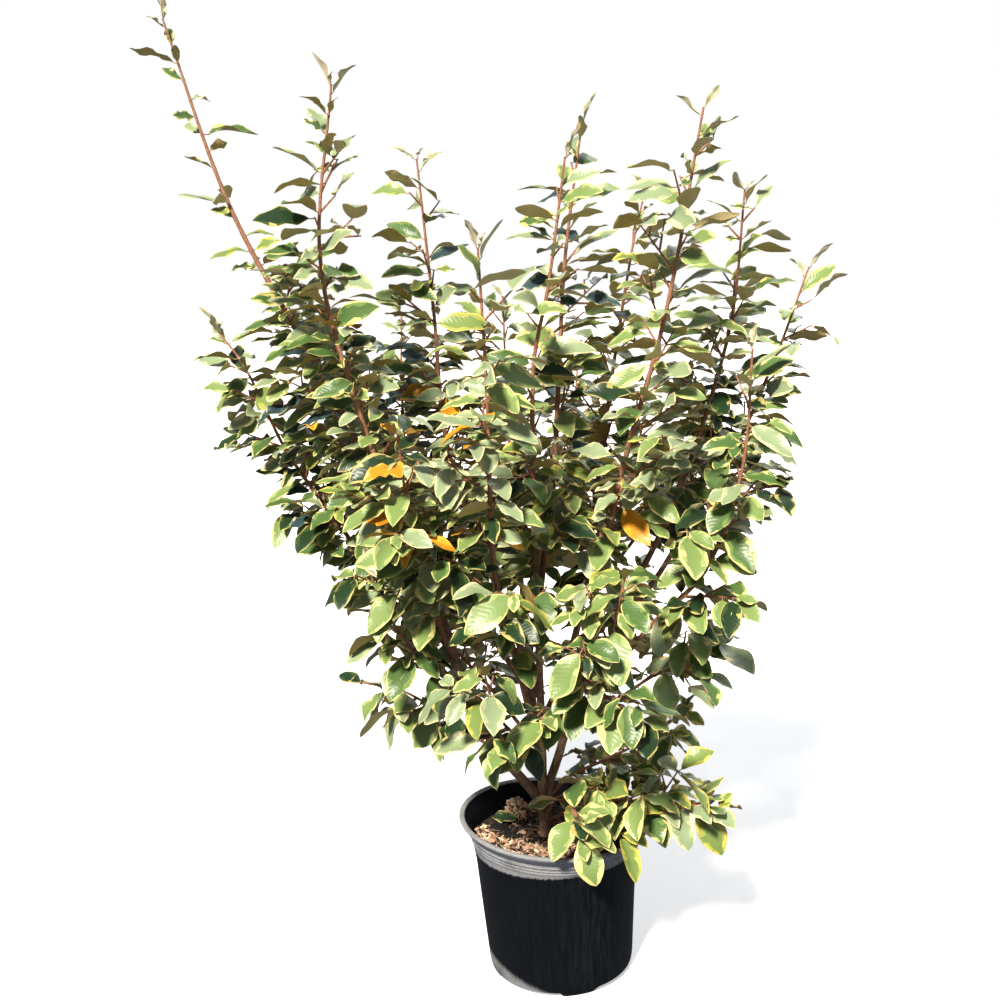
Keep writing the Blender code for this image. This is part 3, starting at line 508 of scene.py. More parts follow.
@dataclass(frozen=True)
class PotPlastic:
    """Black recycled polypropylene, injection moulded, with a fine matte mould texture.

    It is nearly black and soft-shining where clean. Dust and hard water leave a grey
    bloom on the lip, under it and on the heel, and draw faint upright streaks. The grey
    bloom is also painted sunlight: the band under the lip stops at a sharp level edge
    where the crown's shadow line lies, and the heel is grey only on its lit left side.
    """

    dusted: bool = True
    clean: str = "#080a10"
    worn: str = "#26282c"
    dust: str = "#98999d"
    grain_mm: float = 1.4
    streak_mm: float = 5.0
    blotch_mm: float = 38.0
    # Upright, a streak is drawn out to one over this.
    streak_stretch: float = 0.06
    raggedness: float = 0.009
    # The heel's grey rises toward the lit left side, and the lip band stops at the crown's shadow
    # line: dust with painted sunlight.
    more_leftward: float = 0.36
    heel_sunlit_dust: tuple[float, float] = (0.009, -0.006)
    lip_sunlit_dust: tuple[float, float] = (0.224, 0.229)

    def material(self) -> bpy.types.Material:
        """The finish, in which height and side place the dust and its painted sunlight.

        Returns:
            The material.
        """
        name = "black_polypropylene" + ("_dusted" if self.dusted else "_inside")
        material, shader = new_material(name, {"IOR": 1.49, "Specular IOR Level": 0.12})
        tree = material.node_tree
        place = add_node(tree, "TexCoord").outputs["Object"]
        axes = add_node(tree, "SeparateXYZ", inputs={0: place})
        upright = add_node(tree, "Mapping", inputs={
            "Vector": place, "Scale": (1.0, 1.0, self.streak_stretch)})
        streak = add_node(tree, "TexNoise", inputs={
            "Vector": upright, "Scale": per_metre(self.streak_mm), "Detail": 5.0,
            "Roughness": 0.7})
        blotch = add_node(tree, "TexNoise", inputs={
            "Vector": place, "Scale": per_metre(self.blotch_mm), "Detail": 6.0,
            "Roughness": 0.62})
        grain = add_node(tree, "TexNoise", inputs={
            "Vector": place, "Scale": per_metre(self.grain_mm), "Detail": 3.0})
        ragged = add_node(tree, "Math", {"operation": "MULTIPLY_ADD"},
                          {0: streak, 1: self.raggedness, 2: axes.outputs["Z"]})
        leftward = add_node(tree, "Math", {"operation": "MULTIPLY_ADD"},
                            {0: axes, 1: self.more_leftward, 2: ragged})
        # Painted sunlight on the dust: a grey heel on the lit left, and a grey lip band down to the
        # crown's shadow line.
        low = add_node(tree, "MapRange", {"interpolation_type": "SMOOTHSTEP"}, {
            "Value": leftward, "From Min": self.heel_sunlit_dust[0], "From Max": self.heel_sunlit_dust[1],
            "To Max": 0.9})
        high = add_node(tree, "MapRange", {"interpolation_type": "SMOOTHSTEP"}, {
            "Value": ragged, "From Min": self.lip_sunlit_dust[0], "From Max": self.lip_sunlit_dust[1],
            "To Max": 1.0 if self.dusted else 0.0})
        band = add_node(tree, "Math", {"operation": "MAXIMUM"}, {0: low, 1: high})
        broken = add_node(tree, "MapRange", inputs={
            "Value": blotch, "From Min": 0.30, "From Max": 0.50, "To Min": 0.55})
        sunlit_dust_mask = add_node(tree, "Math", {"operation": "MULTIPLY"}, {0: band, 1: broken})
        film = add_node(tree, "MapRange", inputs={
            "Value": grain, "From Min": 0.30, "From Max": 0.60, "To Min": 0.50, "To Max": 0.98})
        cover = add_node(tree, "Math", {"operation": "MULTIPLY"}, {0: sunlit_dust_mask, 1: film})
        streaked = add_node(tree, "MapRange", inputs={
            "Value": streak, "From Min": 0.42, "From Max": 0.76, "To Max": 0.8})
        right = add_node(tree, "MapRange", inputs={
            "Value": axes, "From Min": -0.02, "From Max": 0.05, "To Min": 0.22})
        wear = add_node(tree, "Math", {"operation": "MULTIPLY"}, {0: streaked, 1: right})
        body = add_node(tree, "Mix", {"data_type": "RGBA"},
                        {"Factor": wear, 6: linear(self.clean), 7: linear(self.worn)})
        colour = add_node(tree, "Mix", {"data_type": "RGBA"},
                          {"Factor": cover, 6: body.outputs[2], 7: linear(self.dust)})
        rough = add_node(tree, "MapRange", inputs={
            "Value": cover, "To Min": 0.58, "To Max": 0.90})
        height = add_node(tree, "Math", {"operation": "MULTIPLY_ADD"},
                          {0: streak, 1: 0.8, 2: grain})
        bump = add_node(tree, "Bump", inputs={
            "Height": height, "Strength": 0.25, "Distance": 0.0005})
        set_inputs(shader, {"Base Color": colour.outputs[2], "Roughness": rough, "Normal": bump})
        return material


@dataclass(frozen=True)
class PeatFinish:
    """Damp sieved peat compost: nearly black crumbs that drink the light."""

    wet: str = "#0e0a08"
    damp: str = "#1c1510"
    dry: str = "#33261c"
    crumb_mm: float = 4.0
    patch_mm: float = 45.0

    def material(self) -> bpy.types.Material:
        """The finish of the compost.

        Returns:
            The material.
        """
        material, shader = new_material("peat_compost", {"IOR": 1.4})
        tree = material.node_tree
        place = add_node(tree, "TexCoord").outputs["Object"]
        crumb = add_node(tree, "TexVoronoi", inputs={
            "Vector": place, "Scale": per_metre(self.crumb_mm)})
        patch = add_node(tree, "TexNoise", inputs={
            "Vector": place, "Scale": per_metre(self.patch_mm), "Detail": 8.0,
            "Roughness": 0.75})
        colour = add_node(tree, "ValToRGB", inputs={"Fac": patch}, stops=(
            (0.38, self.wet), (0.55, self.damp), (0.72, self.dry)))
        rough = add_node(tree, "MapRange", inputs={"Value": patch, "To Min": 0.75})
        bump = add_node(tree, "Bump", inputs={
            "Height": crumb, "Strength": 0.9, "Distance": 0.0015})
        set_inputs(shader, {"Base Color": colour, "Roughness": rough, "Normal": bump})
        return material


@dataclass(frozen=True)
class ChipFinish:
    """Composted bark and coir: torn orange-brown fibre with a dry matte surface."""

    name: str
    colour: str
    grain_mm: float = 1.0

    def material(self) -> bpy.types.Material:
        """The finish of one colour of chips.

        Returns:
            The material.
        """
        material, shader = new_material(self.name, {"Base Color": linear(self.colour)})
        tree = material.node_tree
        spot = add_node(tree, "TexCoord")
        fibre = add_node(tree, "TexNoise", inputs={
            "Vector": spot.outputs["Object"], "Scale": per_metre(self.grain_mm),
            "Detail": 3.0})
        rough = add_node(tree, "MapRange", inputs={"Value": fibre, "To Min": 0.8})
        bump = add_node(tree, "Bump", inputs={
            "Height": fibre, "Strength": 0.8, "Distance": 0.0008})
        set_inputs(shader, {"Roughness": rough, "Normal": bump})
        return material


CHIPS = (ChipFinish("bark_chip_tan", "#b8967c"), ChipFinish("bark_chip_rust", "#936e59"),
         ChipFinish("bark_chip_pale", "#dac2a6"), ChipFinish("bark_chip_brown", "#44342a"))


@dataclass(frozen=True)
class PaperSweep:
    """White studio paper lit from behind, an even pale ground with a faint soft shadow."""

    colour: str = "#e4e4e4"
    glow: float = 0.46

    def material(self) -> bpy.types.Material:
        """The finish of the studio floor.

        Returns:
            The material.
        """
        material, _ = new_material("studio_paper", {
            "Base Color": linear(self.colour), "Roughness": 0.9,
            "Emission Color": linear("#ffffff"), "Emission Strength": self.glow})
        return material


# Meshes


def placed(name: str, data: bpy.types.ID) -> bpy.types.Object:
    """Put a new object in the scene.

    Args:
        name: its name.
        data: its mesh, light or camera.

    Returns:
        The object.
    """
    thing = bpy.data.objects.new(name, data)
    bpy.context.scene.collection.objects.link(thing)
    return thing


def part_way(value: float, start: float, span: float) -> float:
    """Share of a span that a value has gone past its start, kept from 0 to 1."""
    return min(max((value - start) / span, 0.0), 1.0)


class Stock:
    """Points, faces, slots and map places gathered for one joined piece."""

    def __init__(self) -> None:
        """Start with nothing gathered."""
        self.points: list[np.ndarray] = []
        self.loops: list[np.ndarray] = []
        self.totals: list[np.ndarray] = []
        self.slots: list[np.ndarray] = []
        self.fields: dict[str, list[np.ndarray]] = defaultdict(list)
        self.count = 0

    def add(self, points: Sequence, loops: np.ndarray, totals: np.ndarray,
            slots: np.ndarray | int = 0, **fields: Sequence) -> None:
        """Gather one closed body.

        Args:
            points: its points, n by 3.
            loops: the point numbers of its faces, one after another.
            totals: how many of them each face has.
            slots: the material slot of all faces or of each.
            fields: named values for each point.
        """
        self.points.append(np.asarray(points, float))
        self.loops.append(np.asarray(loops, np.int64) + self.count)
        self.totals.append(np.asarray(totals, np.int64))
        self.slots.append(np.full(len(totals), slots, np.int64))
        for name, values in fields.items():
            self.fields[name].append(np.asarray(values, float))
        self.count += len(points)

    def piece(self, name: str, materials: Iterable[bpy.types.Material],
              sharp: float = 50.0) -> bpy.types.Object:
        """Build the joined object.

        Args:
            name: the object's name.
            materials: its material slots.
            sharp: angle in degrees past which an edge stays sharp.

        Returns:
            The new object.
        """
        mesh = bpy.data.meshes.new(name)
        points = np.concatenate(self.points)
        loops = np.concatenate(self.loops)
        totals = np.concatenate(self.totals)
        mesh.vertices.add(len(points))
        mesh.vertices.foreach_set("co", points.ravel())
        mesh.loops.add(len(loops))
        mesh.loops.foreach_set("vertex_index", loops)
        mesh.polygons.add(len(totals))
        mesh.polygons.foreach_set("loop_start", np.concatenate(([0], totals.cumsum()[:-1])))
        mesh.polygons.foreach_set("material_index", np.concatenate(self.slots))
        for label, parts in self.fields.items():
            values = np.concatenate(parts)
            if label == "blade":
                layer = mesh.uv_layers.new(name=label)
                layer.data.foreach_set("uv", values[loops].ravel())
            elif values.ndim == 1:
                mesh.attributes.new(label, "FLOAT", "POINT").data.foreach_set("value", values)
            else:
                layer = mesh.attributes.new(label, "FLOAT_VECTOR", "POINT")
                layer.data.foreach_set("vector", values.ravel())
        mesh.update(calc_edges=True)
        mesh.validate()
        mesh.shade_smooth()
        mesh.set_sharp_from_angle(angle=math.radians(sharp))
        for material in materials:
            mesh.materials.append(material)
        log.info("%s: %d triangles", name, (totals - 2).sum())
        return placed(name, mesh)


def dress(piece: bpy.types.Object, nodes: Iterable[str]) -> None:
    """Tell the frame what a piece rides on, and hide the solids that it replaces.

    Args:
        piece: the piece.
        nodes: the names of the solids that it stands for.
    """
    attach(piece, BODY)
    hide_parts(*nodes)


def tube_faces(rings: int, sides: int) -> tuple[np.ndarray, np.ndarray]:
    """Faces of a closed tube of rings.

    Args:
        rings: how many rings.
        sides: points in each ring.

    Returns:
        Point numbers, and how many of them each face has.
    """
    k = np.arange(sides)
    n = (k + 1) % sides
    quads = [np.stack((i * sides + k, i * sides + n, (i + 1) * sides + n, (i + 1) * sides + k), 1)
             for i in range(rings - 1)]
    loops = np.concatenate([np.concatenate(quads).ravel(), k[::-1], (rings - 1) * sides + k])
    return loops, np.array([4] * ((rings - 1) * sides) + [sides, sides])


def revolve(profile: Sequence[tuple[float, float]], sides: int,
            reshape: Callable[[np.ndarray], np.ndarray]) -> tuple:
    """Turn a profile round the upright axis and close both its ends.

    Args:
        profile: radius and height of each point, from the underside round to the inside.
        sides: points in each ring.
        reshape: a last change to the points.

    Returns:
        Points, point numbers and face sizes.
    """
    angle = math.tau * np.arange(sides) / sides
    rows = [np.stack((r * np.cos(angle), r * np.sin(angle), np.full(sides, z)), 1)
            for r, z in profile]
    loops, totals = tube_faces(len(profile), sides)
    return reshape(np.concatenate(rows)), loops, totals


def rounded(profile: Sequence[tuple[float, float]], step: float) -> list[tuple[float, float]]:
    """Divide the long runs of a profile.

    Args:
        profile: radius and height of each point.
        step: the longest run that is left whole.

    Returns:
        The profile with further points on its long runs.
    """
    result = [profile[0]]
    for (r0, z0), (r1, z1) in zip(profile, profile[1:]):
        count = max(1, math.ceil(math.hypot(r1 - r0, z1 - z0) / step))
        for k in range(1, count + 1):
            result.append((r0 + (r1 - r0) * k / count, z0 + (z1 - z0) * k / count))
    return result


def arc(centre: tuple[float, float], radius: float, start: float, end: float,
        count: int) -> list[tuple[float, float]]:
    """Points of a round corner of a profile.

    Args:
        centre: its centre as radius and height.
        radius: its own radius.
        start: first angle in degrees, from straight outward.
        end: last angle in degrees.
        count: how many points.

    Returns:
        The points in order.
    """
    turns = [math.radians(start + (end - start) * k / (count - 1)) for k in range(count)]
    return [(centre[0] + radius * math.cos(a), centre[1] + radius * math.sin(a)) for a in turns]


# Curves


class Line:
    """A run of straight steps, looked up by distance along it."""

    def __init__(self, points: Sequence[Vector]) -> None:
        """Measure the run.

        Args:
            points: its corners in order.
        """
        self.points = list(points)
        self.marks = [0.0]
        for a, b in zip(self.points, self.points[1:]):
            self.marks.append(self.marks[-1] + (b - a).length)
        self.length = self.marks[-1]

    def at(self, distance: float) -> tuple[Vector, Vector]:
        """Look up a place.

        Args:
            distance: metres from the start.

        Returns:
            The point there and the unit direction.
        """
        distance = min(max(distance, 0.0), self.length)
        i = 0
        while i < len(self.marks) - 2 and self.marks[i + 1] < distance:
            i += 1
        a, b = self.points[i], self.points[i + 1]
        span = self.marks[i + 1] - self.marks[i]
        return a.lerp(b, (distance - self.marks[i]) / span), (b - a).normalized()


def smooth_line(points: Iterable[Sequence[float]]) -> Line:
    """A smooth cubic curve through a few way points.

    Args:
        points: the way points in order.

    Returns:
        The curve as a run of short steps.
    """
    knots = [Vector(p) for p in points]
    slopes = []
    for i in range(len(knots)):
        before = knots[max(0, i - 1)]
        after = knots[min(len(knots) - 1, i + 1)]
        slopes.append((after - before).normalized())
    curve = [knots[0]]
    for i, (a, b) in enumerate(zip(knots, knots[1:])):
        chord = (b - a).length
        slope_a, slope_b = slopes[i] * chord, slopes[i + 1] * chord
        count = max(2, round(chord / PATH_STEP))
        for k in range(1, count + 1):
            t = k / count
            t2 = t * t
            t3 = t2 * t
            curve.append(a * (2 * t3 - 3 * t2 + 1) + slope_a * (t3 - 2 * t2 + t)
                         + b * (3 * t2 - 2 * t3) + slope_b * (t3 - t2))
    return Line(curve)


def across(direction: Vector) -> Vector:
    """A unit vector square to a direction, level where that is possible.

    Args:
        direction: the direction.

    Returns:
        The unit vector.
    """
    side = direction.cross(UP)
    if side.length < 0.05:
        side = direction.cross(Vector((0, 1, 0)))
    return side.normalized()


def spaced(start: float, end: float, step: float) -> list[float]:
    """Evenly spaced distances.

    Args:
        start: first distance.
        end: last distance.
        step: the spacing wished for.

    Returns:
        The distances, both ends included.
    """
    count = max(1, round((end - start) / step))
    return [start + (end - start) * k / count for k in range(count + 1)]


def plain_tube(path: Line, stations: Sequence[float], radius_at: Callable[[float], float],
               sides: int, grow: float = 0.0, first_ahead: Vector | None = None) -> tuple:
    """Closed tube along a path, as the solids have it.

    Args:
        path: the tube's axis.
        stations: distances of its rings.
        radius_at: its radius at a distance.
        sides: points in each ring.
        grow: how much it is grown all over.
        first_ahead: direction of the first ring where it differs from the path's.

    Returns:
        Its points and its faces.
    """
    verts = []
    side = across(path.at(stations[0])[1])
    for distance in stations:
        centre, ahead = path.at(distance)
        if first_ahead and distance == stations[0]:
            ahead = first_ahead
        side = (side - ahead * side.dot(ahead)).normalized()
        up = ahead.cross(side)
        radius = radius_at(distance) + grow
        if distance == stations[0]:
            centre = centre - ahead * grow
        if distance == stations[-1]:
            centre = centre + ahead * grow
        for k in range(sides):
            angle = math.tau * k / sides
            verts.append(centre + (side * math.cos(angle) + up * math.sin(angle)) * radius)
    loops, totals = tube_faces(len(stations), sides)
    ends = totals.cumsum()
    faces = [tuple(int(v) for v in loops[end - total:end]) for end, total in zip(ends, totals)]
    return verts, faces


# Pot and compost


@dataclass
class NurseryPot:
    """The round moulded pot: feet with drain gaps, a tapered wall and a broad rolled lip."""

    sides: int = 168
    feet: int = 4
    gap_from: float = 205.0
    gap_arc: float = 63.0
    gap_height: float = 0.009
    gap_edge: float = 2.5
    bead: float = 0.0008
    lip_round: float = 0.0030
    neck_flare: float = 0.0070
    flare_from: float = 0.185

    def wall(self, height: float) -> float:
        """Outer radius of the side wall, which flares a little under the lip.

        Args:
            height: height above the floor.

        Returns:
            The radius in metres.
        """
        share = part_way(height, HEEL_HEIGHT, NECK_HEIGHT - HEEL_HEIGHT)
        flare = part_way(height, self.flare_from, NECK_HEIGHT - self.flare_from) ** 2
        return HEEL_RADIUS + (NECK_RADIUS - HEEL_RADIUS) * share + self.neck_flare * flare

    def profile(self) -> tuple[list[tuple[float, float]], int]:
        """Profile from the middle of the underside, over the lip, to the inside floor.

        Returns:
            The profile, and how many of its first points lie outside.
        """
        neck = NECK_HEIGHT
        outer = [(0.004, 0.0040), (0.030, 0.0040), (0.031, 0.0028), (0.052, 0.0028),
                 (0.053, 0.0040), (0.074, 0.0040), (0.0765, 0.0), (0.095, 0.0),
                 (BASE_RADIUS - 0.006, 0.0), (BASE_RADIUS - 0.002, 0.0008),
                 (BASE_RADIUS, 0.003), (BASE_RADIUS + 0.0024, 0.0065),
                 (BASE_RADIUS + 0.004, 0.010), (HEEL_RADIUS - 0.0008, 0.016),
                 (HEEL_RADIUS, HEEL_HEIGHT)]
        wall = [(self.wall(z), z) for z in (0.06, 0.10, 0.14, 0.18, 0.195, 0.210, 0.222)]
        rings = []
        for ring in (neck - 0.0175, neck - 0.0125, neck - 0.0060):
            r = self.wall(ring)
            rings += [(r, ring - 0.0016), (r + self.bead, ring - 0.0006),
                      (r + self.bead, ring + 0.0006), (self.wall(ring + 0.0016), ring + 0.0016)]
        r = self.lip_round
        rim = self.wall(neck)
        lip = [(rim, neck), (rim + 0.0016, neck + 0.0006), (rim + 0.0036, neck + 0.0024),
               (rim + 0.0064, neck + 0.0056), (RIM_RADIUS - 0.0042, neck + 0.0092),
               (RIM_RADIUS - 0.0012, neck + 0.0124)]
        lip += arc((RIM_RADIUS - r, POT_HEIGHT - r), r, -10, 90, 7)
        lip += arc((RIM_RADIUS - 0.0065, POT_HEIGHT - r), r, 90, 180, 6)
        inner = [(RIM_RADIUS - 0.0110, neck + 0.008), (rim - POT_WALL, neck),
                 (self.wall(0.225) - POT_WALL, 0.225), (self.wall(0.185) - POT_WALL, 0.185),
                 (self.wall(0.12) - POT_WALL, 0.12), (HEEL_RADIUS - POT_WALL, HEEL_HEIGHT + 0.002),
                 (BASE_RADIUS - 0.004, 0.011), (BASE_RADIUS - 0.012, 0.009), (0.004, 0.009)]
        outside = rounded(outer + wall + rings + lip, 0.011)
        inside = rounded([lip[-1]] + inner, 0.011)[1:]
        return outside + inside, len(outside)

    def reshape(self, points: np.ndarray) -> np.ndarray:
        """Raise the base between the feet, and let the soft rim dip and waver.

        Args:
            points: the turned points.

        Returns:
            The same points, moved.
        """
        x, y, z = points.T
        radius = np.hypot(x, y)
        turn = np.degrees(np.arctan2(y, x))
        into = (turn - self.gap_from) % (360 / self.feet)
        edge = np.clip(np.minimum(into, self.gap_arc - into) / self.gap_edge, 0.0, 1.0)
        low = (z < 0.0066) & (radius > 0.078)
        raised = self.gap_height * np.where(radius > BASE_RADIUS - 0.003, 1.0, 0.45)
        z = np.where(low, np.maximum(z, z + (raised - z) * edge), z)
        waver = 0.0007 * np.sin(np.radians(turn) * 3 + 0.8) * (z / POT_HEIGHT) ** 3
        x = x * (1 + waver / RIM_RADIUS)
        y = y * (1 + waver / RIM_RADIUS)
        z = z - x * math.tan(RIM_DIP) * (z / POT_HEIGHT) ** 2
        return np.stack((x, y, z), 1)

    def build(self) -> None:
        """Build and dress the pot."""
        profile, outside = self.profile()
        points, loops, totals = revolve(profile, self.sides, self.reshape)
        slots = np.zeros(len(totals))
        slots[(outside - 1) * self.sides:] = 1
        slots[-2] = 0
        stock = Stock()
        stock.add(points, loops, totals, slots)
        pot = stock.piece("nursery_pot", [PotPlastic().material(),
                                          PotPlastic(dusted=False).material()], sharp=35)
        dress(pot, ["pot"])


@dataclass
class Compost:
    """Compost with a crumbly top, bark chips, coir fibre and one fallen leaf."""

    sides: int = 120
    rings: int = 46
    wall_gap: float = 0.0016
    underside: float = 0.0093
    lump: float = 0.0040
    lump_mm: float = 48.0
    crumb: float = 0.0018
    crumb_mm: float = 11.0
    grain_mm: float = 4.5
    edge_fall: float = 0.004
    edge_width: float = 0.008
    bark_lump: tuple[float, float] = (-0.061, 0.070)
    bark_lump_size: float = 0.020
    bark_lump_height: float = 0.026
    drift: tuple = ((-0.126, 0.012), (-0.112, -0.012), (-0.096, -0.032), (-0.080, -0.043),
                    (-0.063, -0.053), (-0.044, -0.066), (-0.026, -0.077), (-0.008, -0.086),
                    (0.010, -0.086), (0.006, -0.058), (0.022, -0.070), (0.046, -0.072))
    drift_spread: float = 0.0085
    drift_height: float = 0.0060
    drift_odds: float = 0.52
    dry_odds: float = 0.74
    stray_spread: float = 0.060
    reach: float = 0.132
    trunk_clear: float = 0.018
    chip_count: int = 1080
    chip_length: float = 0.0118
    large_chips: tuple = ((-0.033, 0.006, 0.021), (-0.026, 0.016, 0.017), (-0.024, -0.006, 0.013),
                          (-0.052, -0.020, 0.015), (0.030, 0.042, 0.016))
    strand_count: int = 240
    strand_radius: float = 0.00035
    chance: random.Random = field(default_factory=lambda: random.Random(SEED + "chips"))

    def height(self, x: float, y: float) -> float:
        """Height of the compost's top.

        Args:
            x: place along X.
            y: place along Y.

        Returns:
            The height in metres.
        """
        spot = Vector((x, y, 0.0))
        broad = noise.noise(spot * per_metre(self.lump_mm)) * self.lump
        fine = noise.noise(spot * per_metre(self.crumb_mm) + Vector((5, 3, 1))) * self.crumb
        tiny = noise.noise(spot * per_metre(self.grain_mm) + Vector((1, 7, 2))) * self.crumb * 0.5
        from_lump = math.hypot(x - self.bark_lump[0], y - self.bark_lump[1])
        mound = math.exp(-(from_lump / self.bark_lump_size) ** 4) * self.bark_lump_height
        nearest = min(math.hypot(x - u, y - v) for u, v in self.drift)
        pile = math.exp(-(nearest / (1.6 * self.drift_spread)) ** 2) * self.drift_height
        return SOIL_LEVEL + broad + (fine + tiny) * (1 + 40 * mound) + mound + pile

    def build_ground(self) -> None:
        """Build the body of the compost, closed below."""
        wall = NurseryPot().wall
        inner = POT_WALL + self.wall_gap
        low = self.underside
        profile = [(0.002, low), (BASE_RADIUS - 0.014, low), (BASE_RADIUS - 0.006, low + 0.006),
                   (HEEL_RADIUS - inner, HEEL_HEIGHT + 0.008), (wall(0.12) - inner, 0.12),
                   (wall(0.20) - inner, 0.20), (wall(SOIL_LEVEL) - inner, SOIL_LEVEL - 0.008)]
        edge = wall(SOIL_LEVEL) - inner - 0.001
        first = len(profile) * self.sides
        profile += [(edge * (1 - k / self.rings) + 0.0005, SOIL_LEVEL) for k in range(self.rings)]

        def raise_top(points: np.ndarray) -> np.ndarray:
            """Give the top its lumps, and let its edge fall a little.

            Args:
                points: the turned points.

            Returns:
                The same points, moved.
            """
            for i in range(first, len(points)):
                x, y, _ = points[i]
                past = math.hypot(x, y) - edge + self.edge_width
                fall = self.edge_fall * max(0.0, past / self.edge_width)
                points[i][2] = self.height(x, y) - fall
            return points

        points, loops, totals = revolve(profile, self.sides, raise_top)
        stock = Stock()
        stock.add(points, loops, totals)
        ground = stock.piece("peat_compost", [PeatFinish().material()], sharp=60)
        dress(ground, ["compost"])

    def spots(self) -> Iterator[tuple[float, float, bool]]:
        """Places of the chips: a drift, the bark lump, and strays.

        Returns:
            Places along X and Y, each with True for a dry chip.
        """
        while True:
            draw = self.chance.random()
            if draw < self.drift_odds:
                x, y = self.chance.choice(self.drift)
                spread = self.drift_spread
            elif draw < self.dry_odds:
                x, y = self.bark_lump
                spread = self.bark_lump_size * 0.55
            else:
                x, y = 0.0, 0.0
                spread = self.stray_spread
            x += self.chance.gauss(0, spread)
            y += self.chance.gauss(0, spread)
            if math.hypot(x, y) < self.reach and math.hypot(x - TRUNK_FOOT.x, y) > self.trunk_clear:
                yield x, y, draw < self.dry_odds

    def build_chips(self) -> None:
        """Build the bark chips and strands that lie on the compost."""
        stock = Stock()
        spots = self.spots()
        for _ in range(self.chip_count):
            x, y, dry = next(spots)
            length = self.chip_length * self.chance.uniform(0.35, 1.35)
            self.add_chip(stock, Vector((x, y, self.height(x, y))), length, dry)
        for x, y, length in self.large_chips:
            self.add_chip(stock, Vector((x, y, self.height(x, y) + 0.003)), length, True)
        for _ in range(self.strand_count):
            x, y, _ = next(spots)
            self.add_strand(stock, Vector((x, y, self.height(x, y))))
        chips = stock.piece("bark_chips", [finish.material() for finish in CHIPS], sharp=25)
        dress(chips, [])

    def add_chip(self, stock: Stock, spot: Vector, length: float, dry: bool) -> None:
        """Gather one torn chip: a bent, tapered sliver of four rings.

        Args:
            stock: where it is gathered.
            spot: the place that it lies on.
            length: its length.
            dry: True for a dry, pale one.
        """
        chance = self.chance
        turn = Matrix.Rotation(chance.uniform(0, math.tau), 3, "Z")
        tilt = Matrix.Rotation(chance.gauss(0, 0.45), 3, "Y")
        roll = Matrix.Rotation(chance.uniform(0, math.pi), 3, "X")
        pose = turn @ tilt @ roll
        width = length * chance.uniform(0.22, 0.50)
        thick = width * chance.uniform(0.3, 0.7)
        bend = chance.uniform(-0.14, 0.14) * length
        points = []
        for share, size in ((-0.5, 0.35), (-0.2, 0.9), (0.2, 1.0), (0.5, 0.4)):
            lift = bend * (1 - 4 * share * share)
            for y, z in ((-1, -1), (1, -1), (1, 1), (-1, 1)):
                local = Vector((share * length, y * width * size * chance.uniform(0.35, 0.6),
                                z * thick * size * chance.uniform(0.35, 0.6) + lift))
                points.append(spot + pose @ local + UP * thick * 0.4)
        loops, totals = tube_faces(4, 4)
        shares = (5, 3, 3.5, 2) if dry else (0.3, 0.8, 0.1, 7)
        stock.add(points, loops, totals, chance.choices(range(4), shares)[0])

    def add_strand(self, stock: Stock, spot: Vector) -> None:
        """Gather one coir strand, curved along the ground.

        Args:
            stock: where it is gathered.
            spot: the place of its first end.
        """
        chance = self.chance
        heading = chance.uniform(0, math.tau)
        curl = chance.uniform(-60, 60)
        step = chance.uniform(0.0022, 0.0045)
        points = [spot + UP * 0.0008]
        for _ in range(6):
            heading += curl * step
            x = points[-1].x + math.cos(heading) * step
            y = points[-1].y + math.sin(heading) * step
            if math.hypot(x, y) > 0.128:
                break
            points.append(Vector((x, y, self.height(x, y) + 0.0006 + chance.uniform(0, 0.0012))))
        if len(points) < 3:
            return
        path = Line(points)
        verts, _ = plain_tube(path, path.marks, lambda d: self.strand_radius, 3)
        loops, totals = tube_faces(len(points), 3)
        stock.add(verts, loops, totals, chance.choices(range(4), (4, 3, 4, 1))[0])


# Limbs


def limb_paths() -> dict[str, Line]:
    """Curve of the trunk and of each limb, from its parent's axis to its own tip.

    Returns:
        The curves by the name of the limb.
    """
    paths = {"trunk": smooth_line((TRUNK_FOOT, TRUNK_FOOT.lerp(TRUNK_TOP, 0.5), TRUNK_TOP))}
    for limb in LIMBS:
        foot = paths[limb.parent].at(limb.springs)[0]
        paths[limb.name] = smooth_line((foot,) + limb.way)
    return paths


